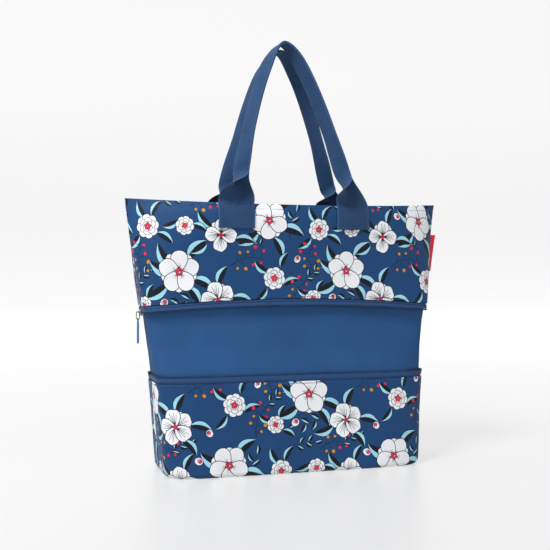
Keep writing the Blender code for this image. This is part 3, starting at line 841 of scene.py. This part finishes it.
def mottled_material(name, colors, roughness, tone, strength, depth, relief=None, worn=None, **looks):
    """An even material with uneven tone. roughness is least, middle and most; tone and relief are
    noises given as scale, detail and stretch, and relief follows tone unless it is given."""
    least, middle, most = roughness
    nodes = Nodes(name, middle, **looks)
    place = nodes.coordinates("Object")

    def pattern(scale, detail=2.0, stretch=None):
        vector = nodes.add("ShaderNodeMapping", {"Vector": place, "Scale": stretch}) if stretch else place
        return nodes.noise(vector, scale, detail)

    haze = pattern(*tone)
    base = nodes.mix(haze, *colors)
    if worn:
        pointy = nodes.tree.nodes.new("ShaderNodeNewGeometry").outputs["Pointiness"]
        base = nodes.mix(nodes.remap(pointy, 0.50, 0.58, 0.0, 1.0), base, worn)
    nodes.set("Base Color", base)
    nodes.set("Roughness", nodes.remap(haze, 0.3, 0.7, least, most))
    nodes.bump(pattern(*relief) if relief else haze, strength, depth)
    return nodes.material


def thread_material(name, low, high):
    return mottled_material(name, (low, high), (0.48, 0.55, 0.62), (1800.0,), 0.4, 0.00008,
                            sheen=0.2, specular=0.4)


def label_material():
    """Plain satin ribbon with fine cross ribs and no mark on it."""
    nodes = Nodes("label_ribbon", 0.50, sheen=0.25, specular=0.4)
    place = nodes.coordinates("UV")
    ribs = nodes.wave(nodes.split(place)[1], 0.0007)
    fleck = nodes.noise(place, 900.0)
    tone = nodes.math("MULTIPLY_ADD", fleck, 0.6, nodes.math("MULTIPLY", ribs, 0.4))
    nodes.set("Base Color", nodes.mix(tone, srgb(224, 20, 40), srgb(248, 44, 62)))
    nodes.set("Roughness", nodes.remap(fleck, 0.3, 0.7, 0.44, 0.58))
    nodes.bump(ribs, 0.4, 0.0001)
    return nodes.material


PRINT = cloth_material("printed_polyester", grain=0.07)
BAND_CLOTH = cloth_material("band_polyester", srgb(40, 78, 124), pitch=0.0008, sheen=0.0, roughness=0.74,
                            grain=0.12, cloudy=0.10, specular=0.12)
LINING = cloth_material("lining_cloth", srgb(28, 44, 72), pitch=0.0007, roughness=0.72)
TAPE_CLOTH = tape_material()
WEBBING = webbing_material()
SEAM_THREAD = thread_material("seam_thread", srgb(22, 56, 98), srgb(38, 76, 124))
HANDLE_THREAD = thread_material("handle_thread", srgb(26, 52, 86), srgb(48, 78, 118))
NYLON = mottled_material("coil_nylon", (srgb(20, 30, 50), srgb(34, 50, 78)), (0.30, 0.38, 0.46),
                         (260.0, 3.0), 0.2, 0.00005)
METAL = mottled_material("dark_nickel", (srgb(62, 64, 70), srgb(92, 94, 100)), (0.24, 0.32, 0.42),
                         (420.0, 4.0), 0.15, 0.00004, relief=(1.0, 2.0, (400.0, 4000.0, 400.0)),
                         worn=srgb(150, 150, 156), metallic=1.0)
RUBBER = mottled_material("grip_rubber_skin", (srgb(54, 98, 154), srgb(72, 118, 176)), (0.46, 0.52, 0.60),
                          (120.0, 3.0), 0.3, 0.00006, relief=(2200.0,), specular=0.4)
BOARD = mottled_material("stiffener_board", (srgb(30, 33, 40), srgb(48, 52, 60)), (0.52, 0.62, 0.72),
                         (1.0, 4.0, (18.0, 160.0, 18.0)), 0.35, 0.00015, relief=(900.0, 3.0), specular=0.4)
RIBBON = label_material()


# Panels -----------------------------------------------------------------------------------

def upper_path(u):
    return UPPER_BOTTOM + u, np.zeros_like(u)


UPPER_LONG = BODY_HEIGHT - UPPER_BOTTOM
TURN_FLAT = BASE_TURN - BASE_EDGE
TURN_ARC = BASE_EDGE * math.pi / 2
LOWER_LONG = TURN_FLAT + TURN_ARC + LOWER_TOP - BASE_EDGE


def lower_path(u):
    """From under the bag, round the bottom edge and up the wall."""
    angle = np.clip((u - TURN_FLAT) / BASE_EDGE, 0.0, math.pi / 2)
    height = BASE_EDGE * (1 - np.cos(angle)) + np.maximum(u - TURN_FLAT - TURN_ARC, 0.0)
    inset = BASE_EDGE * (1 - np.sin(angle)) + np.maximum(TURN_FLAT - u, 0.0)
    return height, inset


SHIFTS = {
    ("upper", "front"): (8.0, -18.0), ("upper", "back"): (-96.0, 44.0),
    ("lower", "front"): (-58.0, 64.0), ("lower", "back"): (38.0, -52.0),
}


PANELS = (   # section, height of its cloth, stitched rows, path up the cloth, phase, limpness
    ("upper", UPPER_LONG, (SEAM_STITCH, UPPER_LONG - HEM_STITCH), upper_path, 0.7, 1.0),
    ("lower", LOWER_LONG, (LOWER_LONG - SEAM_STITCH,), lower_path, 2.9, 0.8),
)


def printed_panels():
    for number, end in enumerate(("front", "back")):
        for section, high, rows, path, phase, limp in PANELS:
            part = shell(HALF_WRAP, high, PANEL_SPACING, printed(HALF_WRAP, high, SHIFTS[section, end]),
                         path, WALL, end == "back", phase + number, rows=rows, puckers=rows, limp=limp)
            settle(shell_object(f"{section}_{end}_cloth", part, PRINT), f"{section}_section", "print_cloth",
                   f"{section}_{end}_panel")


def stitch_row(u, path, back):
    """Centres, directions and outward directions of stitches along one row of a panel."""
    runs = np.arange(0.004, HALF_WRAP - 0.004, STITCH_PITCH)
    level, at = path(np.full_like(runs, u))
    sunk = at + THREAD / 2
    centre = cloth(runs, level, sunk, back)
    ahead = cloth(runs + 0.001, level, sunk, back) - cloth(runs - 0.001, level, sunk, back)
    up = cloth(runs, level + 0.001, sunk, back) - cloth(runs, level - 0.001, sunk, back)
    return centre, ahead, np.cross(ahead, up) * (-1.0 if back else 1.0)


def panel_stitching():
    for section, _, rows, path, _, _ in PANELS:
        found = [stitch_row(u, path, back) for u in rows for back in (False, True)]
        stitches = beads(f"{section}_panel_stitching", *map(np.concatenate, zip(*found)), SEAM_THREAD)
        settle(stitches, f"{section}_section", "print_cloth")


def base_cloth():
    """The bottom panel: the section's outline filled by rings that shrink to its middle."""
    inset = BASE_TURN + GAP
    runs = np.linspace(0.0, HALF_WRAP, 97)
    front = cloth(runs, np.zeros_like(runs), np.full_like(runs, inset), False)
    loop = np.concatenate([front, front[-2:0:-1] * [1, -1, 1]])[:, :2]
    shares = [0.0, 0.0003, 0.0010, 0.003, 0.010, 0.022, 0.035, 0.046]
    rings = []
    for side in (0, 1):
        order = shares[::-1] if side == 0 else shares
        for inward in order:
            scale = 1.0 - inward / np.abs(loop).max(axis=0)
            rounding = math.sqrt(max(1.0 - (1.0 - min(inward / 0.001, 1.0)) ** 2, 0.02))
            level = WALL / 2 + (side - 0.5) * WALL * rounding
            rings.append(np.concatenate([loop * scale, np.full((len(loop), 1), level)], axis=1))
    rings = np.stack(rings)
    faces = grid_faces(len(rings), len(loop), closed_columns=True)
    verts = rings.reshape(-1, 3)
    faces.append(tuple(range(len(loop)))[::-1])
    faces.append(tuple(range(len(verts) - len(loop), len(verts))))
    colors = [INK["ground"]] * len(faces)
    item = make_object("base_cloth", verts, faces, PRINT, verts[:, :2], colors)
    item.data.set_sharp_from_angle(angle=math.radians(50))
    settle(item, "lower_section", "print_cloth", "base_panel")


# Band, tapes and coils --------------------------------------------------------------------

BAND_LOW = LOWER_TOP - TAPE_LAP
BAND_LONG = UPPER_BOTTOM + TAPE_LAP - BAND_LOW
BAND_DIP = 0.0078
TAPE_RISE = ((1 / 6, 0.0016), (1 / 3, 0.0008), (0.6, 0.0006), (1.0, 0.0005))   # share of its height, inset
COIL_PITCH = 0.0016
COIL_WIRE = 0.00036
ZIP_HALVES = (("lower", LOWER_TOP, 1), ("upper", UPPER_BOTTOM, -1))   # section, cloth edge, tape's way


def band_path(u):
    return BAND_LOW + u, np.full_like(u, BAND_INSET)


def band_dip(u):
    """How far the band's faces hang inwards, so that they clear the zip when it is closed."""
    return BAND_DIP * smooth(u, 0.010, 0.062) * (1.0 - smooth(u, 0.088, BAND_LONG))


def expansion_band():
    for number, end in enumerate(("front", "back")):
        part = shell(HALF_WRAP, BAND_LONG, PLAIN_SPACING, [], band_path, BAND, end == "back", 4.2 + number,
                     limp=0.8, puckers=(TAPE_LAP + TAPE_SHOW, BAND_LONG - TAPE_LAP - TAPE_SHOW),
                     sink=band_dip)
        item = shell_object(f"expansion_band_{end}_cloth", part, BAND_CLOTH, plain=True)
        settle(item, "lower_section", "band_cloth", f"expansion_band_{end}")
        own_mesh(item)


def tape_rings(edge, way):
    """Cross-section of a tape from behind the section's edge out to the coil."""
    hidden = WALL + GAP
    line = [(edge - way * TAPE_LAP, hidden), (edge - way * TAPE_LAP / 2, hidden), (edge, hidden)]
    line += [(edge + way * TAPE_SHOW * share, inset) for share, inset in TAPE_RISE]
    bulge = 0.0001
    ends = [(line[-1][0] + way * bulge, line[-1][1] + TAPE / 2)]
    starts = [(line[0][0] - way * bulge, line[0][1] + TAPE / 2)]
    return line + ends + [(height, inset + TAPE) for height, inset in reversed(line)] + starts


def zip_tapes():
    runs = np.linspace(0.0, HALF_WRAP, 254)
    around = np.concatenate([runs, 2 * HALF_WRAP - runs[-2:0:-1]])
    for part, edge, way in ZIP_HALVES:
        rings, uvs = [], []
        for number, (height, inset) in enumerate(tape_rings(edge, way)):
            ripple = 0.00010 * np.sin(runs * 2 * math.pi / 0.0115 + way) * (2 < number < 12)
            front, rear = (cloth(runs, np.full_like(runs, height), inset + ripple, back)
                           for back in (False, True))
            front[0, 1] = front[-1, 1] = 0.0
            rings.append(np.concatenate([front, rear[-2:0:-1]]))
            uvs.append(np.stack([around, np.full_like(around, height + 0.02 * (number > 7))], axis=1))
        rings = np.stack(rings)
        faces = grid_faces(len(rings), rings.shape[1], closed_rows=True, closed_columns=True, flip=way < 0)
        item = make_object(f"{part}_tape_cloth", rings.reshape(-1, 3), faces, TAPE_CLOTH, np.concatenate(uvs))
        item.data.set_sharp_from_angle(angle=math.radians(60))
        settle(item, f"{part}_section", "zip_tape", f"{part}_zip_tape")


def ring_line(height, inset):
    """A closed line round the bag from the left seam over the front, with its run."""
    runs = np.linspace(0.0, HALF_WRAP, 508)
    front = cloth(runs, np.full_like(runs, height), np.full_like(runs, inset), False)
    front[0, 1] = front[-1, 1] = 0.0
    line = np.concatenate([front, front[-2::-1] * [1, -1, 1]])
    run = np.concatenate([[0.0], np.cumsum(np.linalg.norm(np.diff(line, axis=0), axis=1))])
    return line, run


def zip_coils():
    """Each coil is a flattened nylon spiral round the bag, open at the break behind the left seam."""
    for part, edge, way in ZIP_HALVES:
        level = edge + way * (TAPE_SHOW + GAP + COIL_HIGH / 2)
        line, run = ring_line(level, COIL_THICK / 2)
        turns = int((run[-1] - COIL_BREAK - 0.001) / COIL_PITCH)
        steps = 9
        angle = np.arange(turns * steps) * 2 * math.pi / steps
        along = angle / (2 * math.pi) * COIL_PITCH
        lean = 0.00022 * np.sin(angle)
        centre = sampled(along + lean, run, line)
        ahead = sampled(along + 0.002, run, line) - centre
        outward = np.cross(ahead, [0.0, 0.0, 1.0])
        outward /= np.linalg.norm(outward, axis=1, keepdims=True)
        rise = (COIL_HIGH / 2 - COIL_WIRE) * np.sin(angle)
        bulge = (COIL_THICK / 2 - COIL_WIRE) * np.sign(np.cos(angle)) * np.abs(np.cos(angle)) ** 0.7
        points = centre + outward * bulge[:, None]
        points[:, 2] += rise
        verts, faces = tube(points, COIL_WIRE, sides=4)
        item = make_object(f"{part}_coil_spiral", verts, faces, NYLON)
        settle(item, f"{part}_section", "zip_coil", f"{part}_zip_coil")


def softened(name, node, material, width, body, slot):
    """A CAD piece's shape with its edges rounded."""
    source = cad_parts[node].data
    bm = bmesh.new()
    bm.from_mesh(source)
    bmesh.ops.remove_doubles(bm, verts=bm.verts, dist=1e-6)
    bmesh.ops.dissolve_limit(bm, angle_limit=math.radians(2), verts=bm.verts, edges=bm.edges)
    data = bpy.data.meshes.new(name)
    bm.to_mesh(data)
    bm.free()
    data.materials.append(material)
    item = bpy.data.objects.new(name, data)
    bpy.context.scene.collection.objects.link(item)
    bevel = item.modifiers.new("round", "BEVEL")
    bevel.width = width
    bevel.segments = 3
    bevel.limit_method = "ANGLE"
    bevel.angle_limit = math.radians(25)
    data.shade_smooth()
    data.set_sharp_from_angle(angle=math.radians(45))
    return settle(item, body, slot, node)


def small_hardware():
    softened("insertion_pin_moulding", "zip_insertion_pin", NYLON, 0.0004, "lower_section", "zip_coil")
    softened("retainer_box_moulding", "zip_retainer_box", NYLON, 0.0004, "upper_section", "zip_coil")
    softened("slider_casting", "zip_slider", METAL, 0.00022, "zip_slider", "zip_metal")
    softened("link_wire", "pull_link", METAL, 0.0002, "pull_link", "zip_metal")
    softened("grip_moulding", "pull_grip", RUBBER, 0.0003, "pull_grip", "grip_rubber")


# Inside of the bag ------------------------------------------------------------------------

def facing_path(u):
    return BODY_HEIGHT - FACING_DEPTH + u, np.full_like(u, WALL + GAP)


def inside_pieces():
    for number, end in enumerate(("front", "back")):
        part = shell(HALF_WRAP - 0.006, FACING_DEPTH - 0.0005, 0.006, [], facing_path, FACING, end == "back",
                     6.1 + number, limp=0.0)
        item = shell_object(f"top_facing_{end}_cloth", part, LINING, plain=True)
        settle(item, "upper_section", "inside_cloth", f"top_facing_{end}")
    for part in ("lower", "upper"):
        for hand in ("left", "right"):
            seam_tape(f"{part}_{hand}_seam_binding", f"{part}_section")
    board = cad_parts["base_board"]
    board.data.materials.clear()
    board.data.materials.append(BOARD)


def squared(value, power):
    """A sine or cosine flattened towards its ends, which makes a circle squarer."""
    return math.copysign(abs(value) ** power, value)


def seam_tape(node, body):
    """A binding folded round the seam's raw edges, a little uneven along its length."""
    low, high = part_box(node)
    source = np.array([vert.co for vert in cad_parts[node].data.vertices])
    sign = 1.0 if low.x > 0 else -1.0
    bottom = max(low.z, UPPER_BOTTOM + TAPE_LAP + 0.0012) if body == "upper_section" else low.z
    levels = np.linspace(bottom, high.z, 60)
    known = np.unique(np.round(source[:, 2], 5))
    reach = [np.abs(source[np.abs(source[:, 2] - level) < 2e-5][:, 0]).max() for level in known]
    rings, uvs = [], []
    half, sides = 0.0009, 12
    for index, level in enumerate(levels):
        outer = np.interp(level, known, reach) - 0.0001
        sway = 0.00005 * math.sin(index * 0.9)
        ring = []
        for step in range(sides):
            angle = 2 * math.pi * step / sides
            x = outer - BINDING_DEPTH / 2 + squared(math.cos(angle), 0.35) * (BINDING_DEPTH / 2)
            ring.append((sign * x, half * squared(math.sin(angle), 0.5) + sway, level))
            uvs.append((step * 0.0015, level))
        rings.append(ring)
    verts = np.array(rings).reshape(-1, 3)
    faces = grid_faces(len(levels), sides, closed_columns=True, flip=sign < 0)
    caps = [tuple(range(sides))[::-1], tuple(range(len(verts) - sides, len(verts)))]
    faces += [cap[::-1] for cap in caps] if sign < 0 else caps
    item = make_object(node + "_tape", verts, faces, LINING, uvs)
    settle(item, body, "inside_cloth", node)


# Side label -------------------------------------------------------------------------------

def side_label():
    """A plain ribbon folded double, its two ends caught in the right side seam."""
    low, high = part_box("side_label")
    source = np.array([vert.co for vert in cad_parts["side_label"].data.vertices])
    middle = (low.z + high.z) / 2
    corners = [(group[:, 0].min(), group[:, 0].max(), group[:, 2].mean())
               for group in (source[source[:, 2] < middle], source[source[:, 2] > middle])]
    layer, gap = 0.00032, 0.00012
    rings, uvs = [], []
    for share in np.linspace(0.0, 1.0, 30):
        inner, outer, level = (np.interp(share, (0, 1), ends) for ends in zip(*corners))
        length = outer - inner - gap - layer
        mid = [(inner + length * t, -(gap / 2 + layer / 2)) for t in np.linspace(0, 1, 6)]
        mid += [(inner + length + (gap + layer) / 2 * math.sin(a), -(gap + layer) / 2 * math.cos(a))
                for a in np.linspace(0.5, math.pi - 0.5, 4)]
        mid += [(inner + length * t, gap / 2 + layer / 2) for t in np.linspace(1, 0, 6)]
        mid = np.array(mid)
        ahead = np.gradient(mid, axis=0)
        ahead /= np.linalg.norm(ahead, axis=1, keepdims=True)
        side = np.stack([ahead[:, 1], -ahead[:, 0]], axis=1) * layer / 2
        ring = np.concatenate([mid + side, (mid - side)[::-1]])
        bend = 0.0006 * math.sin(math.pi * share) * ((ring[:, 0] - inner) / 0.009) ** 2
        rings.append(np.stack([ring[:, 0], ring[:, 1] + bend, np.full(len(ring), level)], axis=1))
        uvs += [(x, level) for x in ring[:, 0]]
    count = len(rings[0])
    verts = np.concatenate(rings)
    faces = grid_faces(len(rings), count, closed_columns=True) + ribbon_caps(len(verts), count)
    item = make_object("side_label_ribbon", verts, faces, RIBBON, uvs)
    item.data.set_sharp_from_angle(angle=math.radians(50))
    settle(item, "upper_section", "label_weave", "side_label")


# Handles ----------------------------------------------------------------------------------

def hem_y(x, facing):
    return facing * depth_at(BODY_HEIGHT, -GAP - TAB / 2, x)


def hem_slope(facing):
    """How far the hem turns away in depth, for each metre across, at a tab."""
    return (hem_y(HANDLE_X + 0.02, facing) - hem_y(HANDLE_X - 0.02, facing)) / 0.04


def arch(end):
    """Stations along a handle: run, centre, across, face, openness and which leg."""
    back = end == "back"
    facing = 1.0 if back else -1.0
    rise = HANDLE_RISE[end]
    dense = np.linspace(-1.0, 1.0, 4001)
    lift = rise * (1.0 - np.abs(dense) ** HANDLE_POINT)
    span = HANDLE_X * dense + HANDLE_SWAY * lift / rise
    run = np.concatenate([[0.0], np.cumsum(np.hypot(np.diff(span), np.diff(lift)))])
    stops = np.linspace(0.0, run[-1], 235)
    xs, lifts = np.interp(stops, run, span), np.interp(stops, run, lift)
    tangents = np.stack([np.gradient(xs), np.zeros_like(xs), np.gradient(lifts)], axis=1)
    tangents /= np.linalg.norm(tangents, axis=1, keepdims=True)
    twist = sum(math.radians(degrees) * smooth(stops / run[-1], start, finish)
                for start, finish, degrees in TWISTS)
    arch_in = np.stack([tangents[:, 2], np.zeros_like(xs), -tangents[:, 0]], axis=1)
    across = arch_in * np.cos(twist)[:, None] + np.array([0.0, -1.0, 0.0]) * np.sin(twist)[:, None]
    face = np.cross(across, tangents)
    side = np.where(stops < run[-1] / 2, -1.0, 1.0)
    slope = hem_slope(facing)
    hem_across = np.stack([np.ones_like(xs), side * slope, np.zeros_like(xs)], axis=1)
    hem_across /= np.linalg.norm(hem_across, axis=1, keepdims=True)
    upright = np.stack([np.zeros_like(xs), np.zeros_like(xs), -side], axis=1)
    hem_face = np.cross(hem_across, upright)
    opened = (0.5 + 0.5 * np.cos(math.pi * np.clip(lifts / FLARE_HEIGHT[end], 0, 1)))[:, None]
    across = across * (1 - opened) + hem_across * opened
    across /= np.linalg.norm(across, axis=1, keepdims=True)
    face = face * (1 - opened) + hem_face * opened
    face -= across * np.sum(face * across, axis=1, keepdims=True)
    face /= np.linalg.norm(face, axis=1, keepdims=True)
    foot_y = hem_y(HANDLE_X, facing)
    foot_z = BODY_HEIGHT - between(DROPS, BODY_HEIGHT) * (HANDLE_X / between(HALF_WIDTHS, BODY_HEIGHT)) ** 2
    ys = foot_y + (facing * APEX_SETBACK - foot_y) * lifts / rise
    centres = np.stack([xs, ys, foot_z + 2 * GAP + lifts], axis=1)
    return stops, centres, across, face, opened[:, 0], side


def fold_section(opened, count=23):
    """Middle line of the webbing's cross-section as (across, towards the viewer) and its normal.

    Flat where opened is 1; where it is 0 the near half lies on the far half, folded at u = 0.
    """
    half = TAB_WIDTH / 2
    u = half * np.sin(np.linspace(-1, 1, count) * math.pi / 2)
    fine = np.linspace(-half, half, 601)
    closed = 1.0 - opened
    zone = 0.046 * opened ** 0.8 + math.pi * 0.00103 * (1 - opened ** 0.8)
    turn = math.pi * closed * (1.0 - smooth(fine, -zone / 2, zone / 2))
    step = fine[1] - fine[0]
    x = np.cumsum(np.cos(turn)) * step
    y = np.cumsum(-np.sin(turn)) * step
    x -= np.interp(0.0, fine, x)
    y -= np.interp(0.0, fine, y)
    beta = np.interp(u, fine, turn)
    middle = np.stack([np.interp(u, fine, x), np.interp(u, fine, y)], axis=1)
    middle[:, 1] -= (middle[0, 1] + middle[-1, 1]) / 2 * closed ** 4
    middle[:, 0] *= 1.0 - 0.085 * closed
    middle[:, 0] -= STRAP_WIDTH / 2 * closed
    normal = np.stack([np.sin(beta), np.cos(beta)], axis=1)
    return u, middle, normal


def webbing_rings(end):
    """Cross-section rings from one tab's lower end over the arch to the other tab's."""
    facing = 1.0 if end == "back" else -1.0
    stops, centres, across, face, opened, side = arch(end)
    rings, uvs = [], []

    def add(points, normals, u, v):
        rim = TAB_WIDTH / 2 - np.abs(u)
        half = WEB_HALF_THICK * np.sqrt(1 - (1 - np.clip(rim / 0.0010, 0.03, 1)) ** 2)[:, None]
        rings.append(np.concatenate([points - normals * half, (points + normals * half)[::-1]]))
        uvs.append(np.concatenate([np.stack([u, np.full_like(u, v)], axis=1),
                                   np.stack([u, np.full_like(u, v + 2.0)], axis=1)[::-1]]))

    def tab_row(hand, height, v):
        u, _, _ = fold_section(1.0)
        x = hand * HANDLE_X - hand * u
        drop = between(DROPS, height) * (x / between(HALF_WIDTHS, height)) ** 2
        lift_off = -GAP - TAB / 2
        y = facing * depth_at(height, lift_off, x)
        slope = (depth_at(height, lift_off, x + 0.001) - depth_at(height, lift_off, x - 0.001)) / 0.002
        normals = np.stack([slope * facing, -np.ones_like(x), np.zeros_like(x)], axis=1)
        normals /= np.linalg.norm(normals, axis=1, keepdims=True)
        add(np.stack([x, y, height - drop], axis=1), normals, u, v)

    heights = np.concatenate([BODY_HEIGHT - TAB_DROP + np.array([0.0, 0.0004]),
                              np.linspace(BODY_HEIGHT - TAB_DROP + 0.002, BODY_HEIGHT - 0.0005, 16)])
    for height in heights:
        tab_row(-1.0, float(height), height - BODY_HEIGHT)
    for index, stop in enumerate(stops):
        u, middle, normal = fold_section(opened[index])
        near = face[index] * -side[index]
        points = centres[index] + across[index] * middle[:, :1] + near * middle[:, 1:]
        normals = across[index] * normal[:, :1] + near * normal[:, 1:]
        if opened[index] > 0.3:
            hand = side[index]
            flat_x = hand * HANDLE_X + u
            straight = hem_y(hand * HANDLE_X, facing) + u * hand * hem_slope(facing)
            bend = hem_y(flat_x, facing) - straight
            points[:, 1] += bend * opened[index] ** 3
        if side[index] > 0:
            points, normals = points[::-1], normals[::-1]
            u = -u[::-1]
        add(points, normals, u, stop)
    for height in heights[::-1]:
        tab_row(1.0, float(height), stops[-1] + BODY_HEIGHT - height)
    return np.stack(rings), np.concatenate(uvs)


def handles():
    for end in ("front", "back"):
        rings, uvs = webbing_rings(end)
        count = rings.shape[1]
        verts = rings.reshape(-1, 3)
        faces = grid_faces(len(rings), count, closed_columns=True) + ribbon_caps(len(verts), count)
        item = make_object(f"{end}_handle_webbing", verts, faces, WEBBING, uvs)
        turn_faces_out(item)
        item.data.set_sharp_from_angle(angle=math.radians(70))
        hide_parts(f"{end}_handle_strap", f"{end}_left_handle_tab", f"{end}_right_handle_tab")
        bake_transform(item)
        handle_stitching(end)


def handle_stitching(end):
    """Stitches along the folded strap's open edge, and round each tab."""
    stops, centres, across, face, opened, _ = arch(end)
    shut = stops[opened < 0.02]
    at = np.arange(shut[0] + 0.004, shut[-1] - 0.004, STITCH_PITCH + 0.0004)
    middle, wide, out, ahead = (sampled(at, stops, values)
                                for values in (centres, across, face, np.gradient(centres, axis=0)))
    edge = middle + wide * (STRAP_WIDTH / 2 - 0.0030)
    lift = 0.00103 + WEB_HALF_THICK - 0.00005
    centre = np.concatenate([edge + out * lift, edge - out * lift])
    beads_made = beads(f"{end}_strap_stitching", centre, np.concatenate([ahead, ahead]),
                       np.concatenate([out, -out]), HANDLE_THREAD)
    settle(beads_made, f"{end}_handle", "webbing")
    facing = 1.0 if end == "back" else -1.0
    margin, found = 0.0032, []

    def on_tab(x, height):
        drop = between(DROPS, height) * (x / between(HALF_WIDTHS, height)) ** 2
        y = facing * depth_at(height, -GAP - TAB / 2 - WEB_HALF_THICK, x)
        return np.stack([x, y, height - drop], axis=1)

    for hand in (-1.0, 1.0):
        left, right = hand * HANDLE_X - TAB_WIDTH / 2 + margin, hand * HANDLE_X + TAB_WIDTH / 2 - margin
        low, high = BODY_HEIGHT - TAB_DROP + margin, BODY_HEIGHT - margin - 0.0015
        for start, finish in (((left, low), (right, low)), ((right, low), (right, high)),
                              ((right, high), (left, high)), ((left, high), (left, low))):
            long = math.dist(start, finish)
            steps = max(2, int(long / STITCH_PITCH))
            share = (np.arange(steps) + 0.5) / steps
            x = start[0] + (finish[0] - start[0]) * share
            height = start[1] + (finish[1] - start[1]) * share
            ahead_x, ahead_z = (finish[0] - start[0]) / long, (finish[1] - start[1]) / long
            centre = on_tab(x, height)
            ahead = on_tab(x + ahead_x * 0.001, height + ahead_z * 0.001) - centre
            found.append((centre, ahead, np.tile([0.0, facing, 0.0], (len(x), 1))))
    stitches = beads(f"{end}_tab_stitching", *map(np.concatenate, zip(*found)), HANDLE_THREAD)
    settle(stitches, "upper_section", "webbing")


# Studio -----------------------------------------------------------------------------------

BACKDROP_FADE = ((1, 0.22), (2, 0.60), (3, 0.90), (4, 0.14))   # strength 0.90 falls to 0.14 higher up
LAMPS = (   # name, place, size, power
    ("key", (-1.5, -1.2, 2.5), 0.9, 88.0),
    ("top", (-0.6, 0.4, 2.5), 1.2, 16.0),
    ("fill", (1.2, -2.2, 1.2), 1.6, 1.0),
)
LAMP_AIM = Vector((0.0, 0.0, 0.30))
FLOOR_NEAR, FLOOR_FAR, FLOOR_BEND, FLOOR_HALF, FLOOR_TOP = -5.0, 3.2, 1.6, 7.0, 6.0


def studio():
    scene = bpy.context.scene
    scene.view_settings.view_transform = "Standard"
    scene.view_settings.look = "None"
    data = bpy.data.cameras.new("camera")
    data.lens = CAMERA_LENS
    data.sensor_width = 36.0
    data.clip_start = 0.05
    camera = bpy.data.objects.new("camera", data)
    ahead = Vector((math.sin(CAMERA_TURN), math.cos(CAMERA_TURN), 0.0))
    camera.location = CAMERA_AIM - ahead * CAMERA_DISTANCE
    camera.rotation_euler = (math.pi / 2, 0.0, -CAMERA_TURN)
    scene.collection.objects.link(camera)
    scene.camera = camera

    world = bpy.data.worlds.new("studio")
    world.use_nodes = True
    backdrop = world.node_tree.nodes["Background"]
    backdrop.inputs["Color"].default_value = (*srgb(246, 246, 247), 1.0)
    direction = world.node_tree.nodes.new("ShaderNodeTexCoord")
    parts = world.node_tree.nodes.new("ShaderNodeSeparateXYZ")
    fade = world.node_tree.nodes.new("ShaderNodeMapRange")
    world.node_tree.links.new(direction.outputs["Generated"], parts.inputs[0])
    world.node_tree.links.new(parts.outputs[2], fade.inputs[0])
    for index, value in BACKDROP_FADE:
        fade.inputs[index].default_value = value
    world.node_tree.links.new(fade.outputs[0], backdrop.inputs["Strength"])
    scene.world = world

    angle = np.linspace(0.0, math.pi / 2, 13)
    curve = [(FLOOR_NEAR, 0.0)]
    curve += [(FLOOR_FAR + FLOOR_BEND * math.sin(a), FLOOR_BEND * (1 - math.cos(a))) for a in angle]
    curve.append((FLOOR_FAR + FLOOR_BEND, FLOOR_TOP))
    rows = [[(x, y, z) for y, z in curve] for x in (-FLOOR_HALF, FLOOR_HALF)]
    nodes = Nodes("floor_paper", 0.38, specular=0.35)
    mottle = nodes.noise(nodes.coordinates("Object"), 3.0)
    nodes.set("Base Color", nodes.mix(mottle, (0.195, 0.195, 0.195), (0.205, 0.205, 0.205)))
    nodes.shader.inputs["Emission Color"].default_value = (1.0, 1.0, 1.0, 1.0)
    away = nodes.add("ShaderNodeVectorMath", {0: nodes.coordinates("Object")}, operation="LENGTH")
    away = away.node.outputs["Value"]
    nodes.set("Emission Strength", nodes.remap(away, 0.5, 3.2, 0.56, 0.77))
    floor = make_object("floor", np.array(rows).reshape(-1, 3), grid_faces(2, len(curve)), nodes.material)

    for name, place, size, power in LAMPS:
        light = bpy.data.lights.new(name, "AREA")
        light.shape = "SQUARE"
        light.size = size
        light.energy = power
        lamp = bpy.data.objects.new(name, light)
        lamp.location = place
        lamp.rotation_euler = (LAMP_AIM - Vector(place)).to_track_quat("-Z", "Y").to_euler()
        scene.collection.objects.link(lamp)


studio()
printed_panels()
panel_stitching()
base_cloth()
expansion_band()
zip_tapes()
zip_coils()
small_hardware()
inside_pieces()
side_label()
handles()

bpy.context.view_layer.update()
